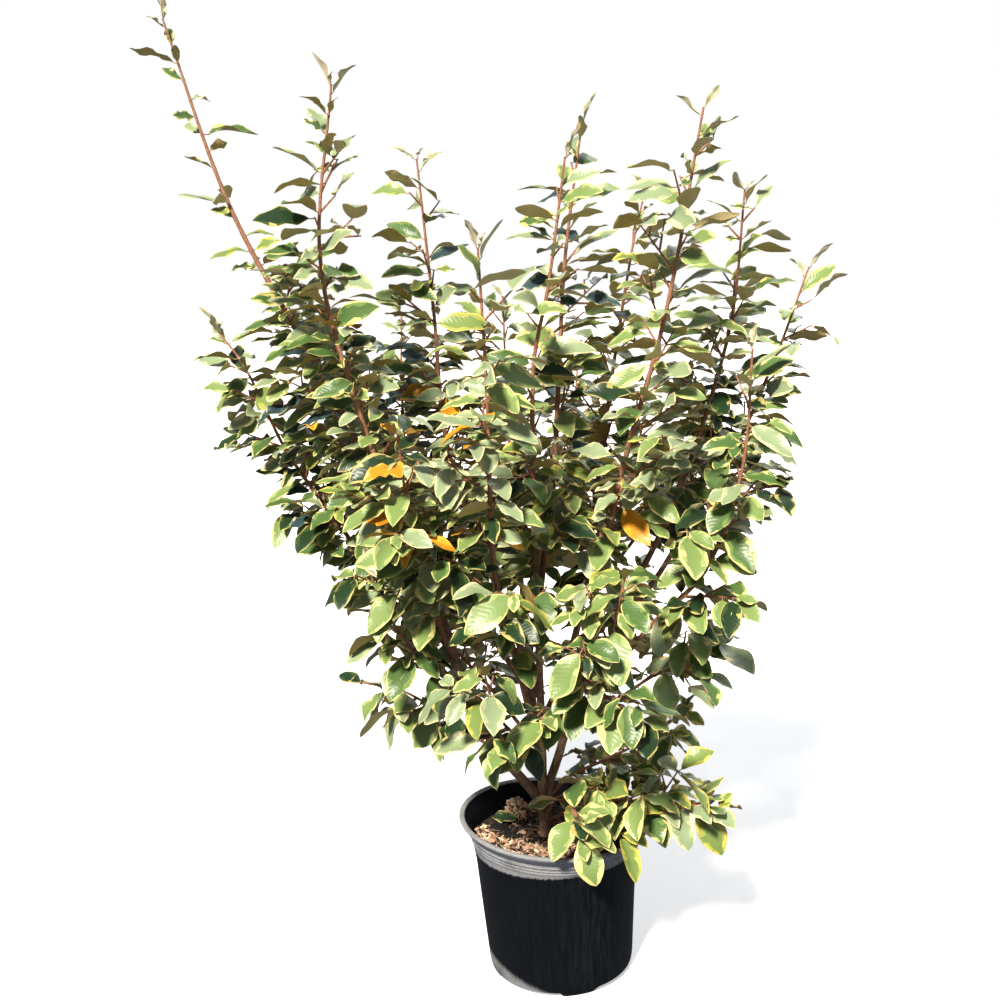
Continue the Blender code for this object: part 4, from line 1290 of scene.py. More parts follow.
@dataclass
class Wood:
    """Trunk, boughs and their leading shoots, with the relief of the bark."""

    paths: dict[str, Line]
    trunk_sides: int = 28
    limb_sides: int = 12
    trunk_step: float = 0.0025
    ring_step: float = 0.006
    collar: float = 0.42
    collar_fade: float = 0.010
    knot: float = 0.16
    knot_spread: float = 0.0026
    ridge_mm: float = 7.0
    crack_mm: float = 3.2
    young_relief: float = 0.00018
    old_relief: float = 0.00055

    def trunk_radius(self, distance: float) -> float:
        """Radius of the trunk: flared at the soil, then tapering to the fork.

        Args:
            distance: metres from its foot.

        Returns:
            The radius in metres.
        """
        share = distance / (TRUNK_TOP - TRUNK_FOOT).length
        flare = (FLARE_RADIUS - TRUNK_RADIUS) * math.exp(-max(distance, 0.0) / FLARE_FADE)
        return TRUNK_RADIUS + (TRUNK_TOP_RADIUS - TRUNK_RADIUS) * share + flare

    def limb_radius(self, limb: Limb, distance: float) -> float:
        """Radius of a limb with its collar at the foot and a knot at each node.

        Args:
            limb: the limb.
            distance: metres from its foot.

        Returns:
            The radius in metres.
        """
        length = self.paths[limb.name].length
        radius = TIP_RADIUS + TAPER * (length - distance)
        if limb.parent == "trunk":
            inside = TRUNK_TOP_RADIUS
        else:
            above = self.paths[limb.parent].length - limb.springs
            inside = TIP_RADIUS + TAPER * above
        beyond = max(0.0, distance - inside)
        radius *= 1 + self.collar * math.exp(-beyond / self.collar_fade)
        from_node = (distance - limb.bare - FIRST_NODE) % NODE_STEP
        from_node = min(from_node, NODE_STEP - from_node)
        if distance > limb.bare:
            radius *= 1 + self.knot * math.exp(-(from_node / self.knot_spread) ** 2)
        return radius

    def add_limb(self, stock: Stock, path: Line, stations: Sequence[float],
                 radius_at: Callable[[float], float], sides: int, mark: float) -> None:
        """Gather one limb with bark relief.

        Args:
            stock: where it is gathered.
            path: the limb's axis.
            stations: distances of its rings.
            radius_at: its radius at a distance.
            sides: points in each ring.
            mark: a number that sets its relief apart from that of other limbs.
        """
        points, skin, age = [], [], []
        side = across(path.at(stations[0])[1])
        for distance in stations:
            centre, ahead = path.at(distance)
            side = (side - ahead * side.dot(ahead)).normalized()
            up = ahead.cross(side)
            radius = radius_at(distance)
            old = part_way(radius, 0.0030, 0.0040)
            for k in range(sides):
                angle = math.tau * k / sides
                c, s = math.cos(angle), math.sin(angle)
                bark = Vector((c * radius, s * radius, distance * 0.30 + mark))
                ridge = noise.noise(bark * per_metre(self.ridge_mm)) * 0.75
                ridge += noise.noise(bark * per_metre(self.crack_mm)) * 0.45
                broad = noise.noise(Vector((c, s, distance * 18 + mark))) * 0.05
                relief = self.young_relief + self.old_relief * old
                reach = radius * (1 + broad) + ridge * relief
                points.append(centre + (side * c + up * s) * reach)
                skin.append((c * radius, s * radius, distance * 0.35 + mark))
                age.append(old)
        loops, totals = tube_faces(len(stations), sides)
        stock.add(points, loops, totals, skin=skin, age=age)

    def build(self) -> None:
        """Build and dress trunk, boughs and leading shoots as one piece."""
        stock = Stock()
        trunk = self.paths["trunk"]
        self.add_limb(stock, trunk, spaced(0.0, trunk.length, self.trunk_step),
                      self.trunk_radius, self.trunk_sides, 0.0)
        for number, limb in enumerate(LIMBS):
            path = self.paths[limb.name]
            self.add_limb(stock, path, spaced(0.0, path.length, self.ring_step),
                          lambda d, limb=limb: self.limb_radius(limb, d), self.limb_sides,
                          number + 1.0)
        wood = stock.piece("bark_limbs", [BarkFinish().material()], sharp=70)
        dress(wood, ["trunk"] + ["bough_" + limb.name for limb in LIMBS])


# The space of each mass


class Keeper:
    """Remembers where limbs, twigs and leaves lie, and says if a new one is clear."""

    def __init__(self) -> None:
        """Start with nothing kept."""
        self.cells: dict[tuple, list] = defaultdict(list)
        self.count = 0

    @staticmethod
    def cells_of(verts: Sequence[Vector]) -> Iterator[tuple[int, int, int]]:
        """Cells that the box round some points touches.

        Args:
            verts: the points.

        Returns:
            The cells, each as three numbers.
        """
        axes = [[v[i] for v in verts] for i in range(3)]
        return product(*(range(math.floor(min(a) / CELL), math.floor(max(a) / CELL) + 1)
                         for a in axes))

    def add(self, owner: str, verts: Sequence[Vector], faces: Sequence[tuple]) -> None:
        """Keep a body that later ones must stay clear of.

        Args:
            owner: whose body it is.
            verts: its points.
            faces: its faces.
        """
        tree = BVHTree.FromPolygons([tuple(v) for v in verts], faces)
        entry = (self.count, owner, tree)
        self.count += 1
        for cell in self.cells_of(verts):
            self.cells[cell].append(entry)

    def clear(self, verts: Sequence[Vector], faces: Sequence[tuple],
              ignore: str | None = None) -> bool:
        """Test a new body.

        Args:
            verts: its points.
            faces: its faces.
            ignore: an owner whose bodies don't count.

        Returns:
            True where it touches nothing kept.
        """
        tree = BVHTree.FromPolygons([tuple(v) for v in verts], faces)
        seen = set()
        for cell in self.cells_of(verts):
            for number, owner, other in self.cells[cell]:
                if number in seen or owner == ignore:
                    continue
                seen.add(number)
                if tree.overlap(other):
                    return False
        return True


class Spaces:
    """The space of each mass: in reach of its own stem and hardly nearer to another."""

    def __init__(self, paths: dict[str, Line]) -> None:
        """Mark every stem.

        Args:
            paths: the curves of the limbs.
        """
        self.stems = {}
        for limb in LIMBS:
            path = paths[limb.name]
            marks = spaced(limb.bare, path.length, 0.02)
            self.stems[limb.name] = np.array([path.at(distance)[0] for distance in marks])

    def distance(self, name: str, point: Vector) -> float:
        """Distance from a point to a mass's stem."""
        return float(np.sqrt(((self.stems[name] - np.array(point)) ** 2).sum(1).min()))

    def holds(self, name: str, point: Vector) -> bool:
        """Test a point.

        Args:
            name: the name of a mass.
            point: the point.

        Returns:
            True where the point lies in the space of that mass.
        """
        own = self.distance(name, point)
        if own > REACH:
            return False
        limit = own - SPACE_ALLOWANCE
        if limit <= 0:
            return True
        return all(self.distance(other, point) > limit for other in self.stems if other != name)


# Leaves


def leaf_mesh(root: Vector, along: Vector, face_up: Vector, length: float) -> tuple:
    """A blade of six faces as the solids have it.

    Args:
        root: where it leaves its twig.
        along: its direction.
        face_up: its upper side.
        length: its length.

    Returns:
        Its points and its faces.
    """
    side = along.cross(face_up).normalized()
    up = side.cross(along).normalized()
    half = LEAF_WIDTH * 0.5 * length / LEAF_LENGTH
    middle = root + along * (length * LEAF_BROADEST)
    tip = root + along * length - up * (length * LEAF_DROOP)
    verts = [root, tip, middle + side * half, middle - side * half, middle - up * LEAF_KEEL]
    faces = [(0, 2, 3), (1, 3, 2), (0, 3, 4), (0, 4, 2), (1, 4, 3), (1, 2, 4)]
    return verts, faces


def leaf_guard(root: Vector, along: Vector, face_up: Vector, length: float,
               margin: float = GUARD) -> tuple:
    """A thicker copy of a blade, cut off near the twig, to test that it is clear.

    Args:
        root: where it leaves its twig.
        along: its direction.
        face_up: its upper side.
        length: its length.
        margin: how much thicker it is all over.

    Returns:
        Its points and its faces.
    """
    (root, tip, left, right, keel), _ = leaf_mesh(root, along, face_up, length)
    side = (left - right).normalized() * margin
    up = side.cross(along).normalized() * margin
    start = ROOT_CLEAR / (length * LEAF_BROADEST)
    verts = [root.lerp(left, start) + up, root.lerp(right, start) + up,
             root.lerp(keel, start) - up, left + side + up, right - side + up,
             left + side - up, right - side - up, keel - up, tip + along * margin]
    faces = [(0, 1, 4, 3), (0, 3, 5, 2), (1, 2, 6, 4), (2, 5, 7), (2, 7, 6),
             (3, 4, 8), (3, 8, 5), (4, 6, 8), (5, 8, 7), (6, 7, 8)]
    return verts, faces


def twig_radius(distance: float, length: float) -> float:
    """Radius of a tapering twig of this length."""
    return TWIG_RADIUS * (1.25 - 0.55 * distance / length)


def leaf_frame(spot: Vector, ahead: Vector, turn: float, pitch: float,
               chance: random.Random) -> tuple[Vector, Vector]:
    """Direction and upper side of a leaf that leaves a twig.

    Args:
        spot: its node.
        ahead: direction of the twig.
        turn: its turn round the twig.
        pitch: its slope.
        chance: the mass's random draws.

    Returns:
        The direction and the upper side.
    """
    side = across(ahead)
    out = side * math.cos(turn) + ahead.cross(side) * math.sin(turn)
    outward = Vector((spot.x, spot.y, 0.0))
    if outward.length > 0.02:
        out = out + outward.normalized() * 0.45
    flat = Vector((out.x, out.y, 0.0))
    if flat.length < 0.05:
        flat = Vector((math.cos(turn), math.sin(turn), 0.0))
    flat.normalize()
    along = flat * math.cos(pitch) + UP * math.sin(pitch)
    face_up = flat.cross(UP).cross(along)
    if face_up.z < 0:
        face_up = -face_up
    roll = math.radians(chance.uniform(-ROLL_SPREAD, ROLL_SPREAD))
    return along, Matrix.Rotation(roll, 3, along) @ face_up


class Node(NamedTuple):
    """A place on a stem or twig where a leaf may grow."""

    spot: Vector
    ahead: Vector
    turn: float
    share: float
    radius: float
    number: int
    spray: int


class Leaf(NamedTuple):
    """One leaf that has found its place."""

    root: Vector
    along: Vector
    face_up: Vector
    length: float
    stalk: float
    share: float
    spray: int


class Twig(NamedTuple):
    """One side twig that has found its place."""

    path: Line
    share: float


# Points in each row of a blade: seven above, and five below between the two outlines.
ROW_POINTS = 12


@dataclass(frozen=True)
class Blade:
    """Pattern of a leaf blade: a waved, folded, closed shell with its colours in columns."""

    rows: int = 10
    thickness: float = 0.00035
    rib: float = 0.0006
    edge: float = 0.0014
    broad_edge: float = 0.0030
    wave: float = 0.0032
    base_width: float = 0.0011
    toward_light: float = 0.95
    roll: float = 22.0
    high_roll: float = 18.0

    def faces(self) -> tuple[np.ndarray, np.ndarray, np.ndarray]:
        """The faces, the same for every blade.

        Returns:
            Point numbers, face sizes and leaf parts.
        """
        tip = self.rows * ROW_POINTS
        numbers = np.arange(tip).reshape(self.rows, ROW_POINTS)
        # Both sides share the outline, which is columns 0 and 6.
        top = numbers[:, :7]
        under = numbers[:, [0, 7, 8, 9, 10, 11, 6]]
        loops, totals, parts = [], [], []
        columns = (LeafPart.EDGE, LeafPart.FEATHER, LeafPart.CENTRE, LeafPart.CENTRE,
                   LeafPart.FEATHER, LeafPart.EDGE)

        for i in range(self.rows):
            last = i == self.rows - 1
            for j, part in enumerate(columns):
                if last:
                    upper = (top[i, j], tip, top[i, j + 1])
                    lower = (under[i, j + 1], tip, under[i, j])
                else:
                    upper = (top[i, j], top[i + 1, j], top[i + 1, j + 1], top[i, j + 1])
                    lower = (under[i, j], under[i, j + 1], under[i + 1, j + 1], under[i + 1, j])
                for face, kind in ((upper, part), (lower, LeafPart.UNDERSIDE)):
                    loops += face
                    totals.append(len(face))
                    parts.append(kind.value)
        loops += [*top[0], *under[0, 5:0:-1]]
        totals.append(ROW_POINTS)
        parts.append(LeafPart.UNDERSIDE.value)
        return np.array(loops), np.array(totals), np.array(parts)

    def variegate(self, parts: np.ndarray, broad: bool,
                  chance: np.random.Generator) -> np.ndarray:
        """Break the cream edge of one leaf and let it run inward in patches.

        Args:
            parts: the leaf part of each face, the same for every blade.
            broad: True for a broad cream edge.
            chance: random draws for the breaks.

        Returns:
            The leaf part of each face of this blade.
        """
        upper = parts[:-1:2].reshape(self.rows, 6).copy()
        row = np.arange(self.rows)
        for outer, inner in ((0, 1), (5, 4)):
            wander = np.sin(row * chance.uniform(0.5, 1.5) + chance.uniform(0, 6))
            wander += chance.normal(0, 0.35, self.rows)
            upper[wander > (0.70 if broad else 1.15), inner] = LeafPart.EDGE.value
            upper[wander < -0.70, inner] = LeafPart.CENTRE.value
            upper[wander < -1.05, outer] = LeafPart.FEATHER.value
        result = parts.copy()
        result[:-1:2] = upper.ravel()
        return result

    def columns(self, t: np.ndarray, outline: np.ndarray, broad: bool,
                chance: np.random.Generator) -> np.ndarray:
        """Places of the colour columns across the blade.

        Args:
            t: place of each row along the blade, from 0 to 1.
            outline: half width of each row.
            broad: True for a broad cream edge.
            chance: random draws for their wander.

        Returns:
            Seven places from -1 to 1 for each row.
        """
        border = (self.broad_edge if broad else self.edge) * chance.uniform(0.5, 1.5, (1, 2))
        ragged = 1 + 0.75 * np.sin(t[:, None] * chance.uniform(8, 18, (1, 2))
                                   + chance.uniform(0, 6, (1, 2)))
        inner = np.clip(1 - border * ragged / outline[:, None], 0.30, 0.94)
        feather = 0.64 + 0.18 * np.sin(t[:, None] * chance.uniform(10, 22, (1, 2)))
        split = inner * np.clip(feather, 0.4, 0.86)
        zero = np.zeros(len(t))
        one = np.ones(len(t))
        return np.stack((-one, -inner[:, 0], -split[:, 0], zero, split[:, 1], inner[:, 1], one), 1)

    def points(self, leaf: Leaf, broad: bool, chance: np.random.Generator) -> tuple:
        """Points of one leaf's blade.

        Args:
            leaf: the leaf.
            broad: True for a broad cream edge.
            chance: random draws for its shape.

        Returns:
            Its points, and each point's place on the blade.
        """
        high = part_way(leaf.root.z, 0.55, 0.50)
        length = leaf.length * 0.95 - leaf.stalk
        half = LEAF_WIDTH * 0.5 * leaf.length / LEAF_LENGTH
        half *= chance.uniform(0.84 - 0.24 * high, 1.05 - 0.23 * high)
        young = leaf.share > YOUNG_FROM and leaf.root.z > YOUNG_ABOVE
        half *= 0.74 if young else 1.0
        even = np.arange(self.rows + 1) / self.rows
        t = 0.50 * even + 0.50 * (0.5 - 0.5 * np.cos(np.pi * even))
        outline = np.sin(np.pi * t ** chance.uniform(0.86, 1.08)) ** chance.uniform(0.60, 0.76)
        outline *= 1 + 0.035 * np.sin(t * chance.uniform(7, 13) + chance.uniform(0, 6))
        outline = np.maximum(outline * (1 - 0.06 * t) * half, self.base_width)
        s = self.columns(t, outline, broad, chance)
        fold = math.radians(chance.uniform(4, 24) + (16 if young else 0))
        curl = math.radians(chance.uniform(6, 52))
        along = np.sin(curl * t) / curl * length
        fall = -(1 - np.cos(curl * t)) / curl * length
        fall += np.sin(2 * np.pi * t) * length * chance.uniform(-0.03, 0.03)
        y = s * outline[:, None] * math.cos(fold)
        waves = chance.uniform(1.1, 2.2)
        phase = chance.uniform(0, 2 * np.pi, (1, 2))
        ripple = np.where(s < 0, np.sin(2 * np.pi * waves * t[:, None] + phase[:, :1]),
                          np.sin(2 * np.pi * waves * t[:, None] + phase[:, 1:]))
        envelope = np.sin(np.pi * np.clip(t, 0.02, 0.97))[:, None]
        lift = (np.abs(y) * math.tan(fold) + 0.0007 * np.sin(np.pi * np.abs(s))
                + self.wave * chance.uniform(0.5, 1.45) * np.abs(s) ** 2.2 * ripple * envelope)
        twist = math.radians(chance.uniform(-22, 22)) * (t - 0.4)[:, None]
        z = fall[:, None] + lift * np.cos(twist) + y * np.sin(twist)
        y = y * np.cos(twist) - lift * np.sin(twist)
        y = y + (chance.uniform(-0.06, 0.06) * length * np.sin(np.pi * t) * t)[:, None]
        x = np.broadcast_to(along[:, None], y.shape)
        upper = np.stack((x, y, z), 2)
        lower = upper[:, 1:6].copy()
        lower[:, :, 2] -= self.thickness
        lower[:, 2, 2] -= self.rib * (1 - 0.8 * t)
        rows = np.concatenate((upper, lower), 1)
        place = np.stack((np.broadcast_to(t[:, None], s.shape), 0.5 + 0.5 * s), 2)
        places = np.concatenate((place, place[:, 1:6]), 1)
        points = np.concatenate((rows[:-1].reshape(-1, 3), rows[-1, 3:4]))
        places = np.concatenate((places[:-1].reshape(-1, 2), places[-1, 3:4]))
        chord = np.arctan2(fall[-1], along[-1])
        cos, sin = math.cos(-chord), math.sin(-chord)
        points = points @ np.array(((cos, 0, sin), (0, 1, 0), (-sin, 0, cos)))
        face_up = leaf.face_up + LIGHT_FROM * self.toward_light * (0.4 + 0.6 * high)
        side = face_up.cross(leaf.along).normalized()
        up = leaf.along.cross(side).normalized()
        swing = math.radians(self.roll + self.high_roll * high)
        roll = Matrix.Rotation(chance.uniform(-swing, swing), 3, leaf.along)
        axes = np.array((leaf.along, roll @ side, roll @ up))
        start = np.array(leaf.root + leaf.along * leaf.stalk)
        return points @ axes + start, places


class Mass:
    """One mass of foliage: a stem, side twigs by a seeded rule, and their leaves."""

    def __init__(self, limb: Limb, path: Line, keeper: Keeper, spaces: Spaces) -> None:
        """Lay out the stem.

        Args:
            limb: the limb that ends in this mass.
            path: the limb's curve.
            keeper: what is already placed.
            spaces: the space of each mass.
        """
        self.limb = limb
        self.broad_edged = limb.name in BROAD_EDGED
        self.keeper = keeper
        self.spaces = spaces
        self.chance = random.Random(SEED + limb.name)
        self.fine_chance = random.Random(SEED + limb.name + "fine")
        marks = spaced(limb.bare + GAP, path.length, STEM_STEP)
        self.stem = Line([path.at(distance)[0] for distance in marks])
        self.root_ahead = path.at(limb.bare)[1]
        self.nodes: list[Node] = []
        self.leaves: list[Leaf] = []
        self.twigs: list[Twig] = []
        self.twigless: list[tuple] = []
        self.sprays = 0

    def stem_radius(self, distance: float) -> float:
        """Radius of the stem, carried on from its bough."""
        return TIP_RADIUS + TAPER * (self.stem.length - distance)

    def sparse(self, spot: Vector) -> bool:
        """True in the thinly leaved top of a long shoot."""
        return spot.z > SPARSE_ABOVE.get(self.limb.name, math.inf)

    def grow_stem(self) -> None:
        """Keep the stem's place, from the bough's tip to the tip of the limb."""
        verts, faces = plain_tube(self.stem, self.stem.marks, self.stem_radius, 3,
                                  first_ahead=self.root_ahead)
        self.keeper.add(self.limb.name, verts, faces)

    def grow_twigs(self) -> None:
        """Side twigs and the places of the leaves, node by node from the bottom."""
        length = self.stem.length
        first_turn = self.chance.uniform(0, math.tau)
        for k in range(int((length - 0.03) / NODE_STEP) + 1):
            distance = FIRST_NODE + k * NODE_STEP
            share = distance / length
            turn = first_turn + k * GOLDEN_TURN
            spot, ahead = self.stem.at(distance)
            sparse = self.sparse(spot)
            number = k if not sparse or k % 4 == 0 else 1
            self.nodes.append(Node(spot, ahead, turn, share, self.stem_radius(distance), number,
                                   k // 5))
            every = 2 if spot.z < LOW_CROWN and k < 8 else 3
            if k % every == 1 and share < TIP_LEAVES_FROM and not sparse:
                wish = self.limb.twig * (1.0 - 0.65 * share) * self.chance.uniform(0.75, 1.15)
                if self.place_twig(spot, ahead, turn + TWIG_TURN, share, wish, self.chance,
                                   TWIG_SHORTEST):
                    continue
            if not sparse:
                self.twigless.append((spot, ahead, turn + FINE_TURN, share))
        spot, ahead = self.stem.at(length - TIP_SETBACK)
        self.nodes.append(Node(spot, ahead, first_turn, 1.0, TIP_RADIUS, 0, 99))

    def place_twig(self, spot: Vector, ahead: Vector, turn: float, share: float, wish: float,
                   chance: random.Random, shortest: float) -> bool:
        """Turn and shorten a twig until it keeps to the mass's space, or give it up.

        Args:
            spot: its node.
            ahead: direction of what carries it.
            turn: its first turn.
            share: how far along the stem it is.
            wish: the length wished for.
            chance: the random draws.
            shortest: the shortest length allowed.

        Returns:
            True where it found a place.
        """
        side = across(ahead)
        for attempt in range(TWIG_TRIES):
            length = wish * (1.0 - TRY_SHORTER * attempt)
            if length < shortest:
                return False
            angle = turn + attempt * TRY_TURN
            out = side * math.cos(angle) + ahead.cross(side) * math.sin(angle)
            away = ahead * math.cos(TWIG_ANGLE) + out * math.sin(TWIG_ANGLE) + UP * TWIG_RISE
            twig = Line([spot, spot + away.normalized() * length])

            radius = partial(twig_radius, length=length)
            guard = plain_tube(twig, [ROOT_CLEAR, length], radius, 3, GUARD)
            if (self.spaces.holds(self.limb.name, twig.points[-1])
                    and self.keeper.clear(*guard, ignore=self.limb.name)):
                verts, faces = plain_tube(twig, twig.marks, radius, 3)
                self.keeper.add(self.limb.name, verts, faces)
                self.twigs.append(Twig(twig, share))
                self.sprays += 1
                self.add_twig_nodes(twig, share, chance)
                return True
        return False

    def add_twig_nodes(self, twig: Line, share: float, chance: random.Random) -> None:
        """Leaf places along a side twig and at its end.

        Args:
            twig: the twig's line.
            share: how far along the stem it is.
            chance: the random draws.
        """
        turn = chance.uniform(0, math.tau)
        count = int((twig.length - 0.012) / NODE_STEP)
        for k in range(count + 1):
            last = k == count
            spot, ahead = twig.at(twig.length - TIP_SETBACK if last
                                  else TWIG_FIRST_NODE + k * NODE_STEP)
            self.nodes.append(Node(spot, ahead, turn + k * GOLDEN_TURN, share, TWIG_RADIUS,
                                   0 if last else k, 100 + self.sprays))

    def grow_leaves(self) -> None:
        """The leaves that the solids have, at every second node."""
        for node in self.nodes:
            if node.number % 2 == 0:
                self.grow_leaf(node, 1.0, self.chance, 7, GUARD)

    def grow_fine(self) -> None:
        """Finer twigs where there are none, further leaves on them and at the other nodes."""
        chance = self.fine_chance
        carried = len(self.nodes)
        for spot, ahead, turn, share in self.twigless:
            if share < 0.92:
                wish = self.limb.twig * (0.85 - 0.55 * share) * chance.uniform(0.45, 0.85)
                self.place_twig(spot, ahead, turn, share, wish, chance, FINE_SHORTEST)
        for twig in list(self.twigs):
            if twig.path.length > FORKED_FROM:
                for at in FORKS:
                    spot, ahead = twig.path.at(twig.path.length * at)
                    wish = twig.path.length * (1 - at) * chance.uniform(0.7, 1.15)
                    self.place_twig(spot, ahead, chance.uniform(0, 6.3), twig.share, wish,
                                    chance, FINEST_SHORTEST)
        for place, node in enumerate(self.nodes):
            if (place >= carried or node.number % 2) and not self.sparse(node.spot):
                scale = HIGH_FINE_LEAF if node.spot.z > OPEN_ABOVE else FINE_LEAF
                self.grow_leaf(node, scale, chance, 9, FINE_GUARD, self.lift(node))
        for node in self.nodes:
            for number, scale in enumerate(self.fine_scales(node)):
                turned = node._replace(turn=node.turn + 1.9 + 2.1 * number)
                self.grow_leaf(turned, scale, chance, 5, FINEST_GUARD, self.lift(node))
        if self.broad_edged:
            self.leaves = [leaf for leaf in self.leaves if not self.hides_trunk(leaf)]
        self.twigs = [self.trimmed(number) for number in range(len(self.twigs))]

    def fine_scales(self, node: Node) -> list[float]:
        """Sizes of the smaller leaves that share a node with its first one.

        Args:
            node: the node.

        Returns:
            Their sizes beside a full leaf.
        """
        draw = self.fine_chance.random
        if self.broad_edged:
            return [0.80, 0.70, 0.55]
        if node.spot.z < DENSE_BELOW.get(self.limb.name, 0.0):
            return [0.80, 0.62] if draw() < 0.8 else [0.70]
        if self.sparse(node.spot):
            return [0.58]
        if node.spot.z < LOW_CROWN:
            return [scale for scale, odds in ((0.72, 0.80), (0.50, 0.45)) if draw() < odds]
        return [0.50] if draw() < (0.25 if node.spot.z > OPEN_ABOVE else 0.50) else []

    def trimmed(self, number: int) -> Twig:
        """A side twig cut back to the last leaf or twig that it carries.

        Args:
            number: its place among the mass's twigs.

        Returns:
            The twig, which may be as short as its base.
        """
        twig = self.twigs[number]
        foot, tip = twig.path.points[0], twig.path.points[-1]
        ahead = (tip - foot).normalized()
        carried = [leaf.root for leaf in self.leaves if leaf.spray == 101 + number]
        carried += [other.path.points[0] for other in self.twigs if other is not twig]
        reach = CUT_TWIG
        for spot in carried:
            along = (spot - foot).dot(ahead)
            off = (spot - foot - ahead * along).length
            if 0 < along <= twig.path.length and off < TWIG_SEAM:
                reach = max(reach, along + 0.002)
        return twig._replace(path=Line([foot, foot + ahead * min(reach, twig.path.length)]))

    @staticmethod
    def hides_trunk(leaf: Leaf) -> bool:
        """Test if a leaf comes between the photograph's camera and the trunk's foot.

        Args:
            leaf: the leaf.

        Returns:
            True where it does.
        """
        foot = TRUNK_FOOT + UP * 0.012
        view = (CAMERA_PLACE - foot).normalized()
        for share in (0.2, 0.5, 0.8, 1.0):
            off = leaf.root + leaf.along * leaf.length * share - foot
            if off.dot(view) > 0 and (off - view * off.dot(view)).length < TRUNK_VIEW_CLEAR:
                return True
        return False

    def lift(self, node: Node) -> float:
        """How much less a finer leaf hangs than a first one: low ones spread more.

        Args:
            node: its node.

        Returns:
            The angle in radians.
        """
        low = part_way(node.spot.z, 1.05, -0.50)
        most = 62 if self.broad_edged else 48
        return math.radians(self.fine_chance.uniform(0, most)) * low

    def grow_leaf(self, node: Node, scale: float, chance: random.Random, tries: int,
                  margin: float, lift: float = 0.0) -> None:
        """One leaf, or none where no turn of it keeps clear and in the space.

        Args:
            node: its node.
            scale: its size beside a full leaf.
            chance: the random draws.
            tries: how many turns are tried.
            margin: the clearance that it keeps.
            lift: how much its slope is raised, in radians.
        """
        size = chance.uniform(0.86, 1.10) * scale
        if node.share > TIP_LEAVES_FROM:
            size *= 1.0 - (1.0 - TIP_LEAF_SHARE) * (node.share - TIP_LEAVES_FROM) / 0.15
        # Low leaves hang, those of the crown lie level, and tip leaves rise.
        pitch = LOW_PITCH + PITCH_RISE * part_way(node.spot.z, 0.55, 0.60)
        pitch += TIP_PITCH * max(0.0, node.share - 0.8) / 0.2
        pitch = math.radians(pitch + chance.uniform(-PITCH_SPREAD, PITCH_SPREAD)) + lift
        for attempt in range(tries):
            turn = node.turn + attempt * LEAF_TRY_TURN
            length = LEAF_LENGTH * size * (1.0 - LEAF_TRY_SHORTER * attempt)
            along, face_up = leaf_frame(node.spot, node.ahead, turn, pitch, chance)
            root = node.spot - along * (node.radius * ROOT_SINK)
            verts, faces = leaf_mesh(root, along, face_up, length)
            in_space = all(self.spaces.holds(self.limb.name, v) for v in verts[1:4])
            guard = leaf_guard(root, along, face_up, length, margin)
            if in_space and self.keeper.clear(*guard):
                self.keeper.add(self.limb.name + "_leaf", verts, faces)
                stalk = node.radius + STALK_LENGTH * size
                self.leaves.append(Leaf(root, along, face_up, length, stalk, node.share,
                                        node.spray))
                return


class Zone(Enum):
    """Parts of the crown, each a piece of its own."""

    RIM = "rim"
    FAR_LEFT = "far_left"
    LEFT = "left"
    RIGHT = "right"
    FRONT = "front"
    MIDDLE = "middle"
    BACK = "back"


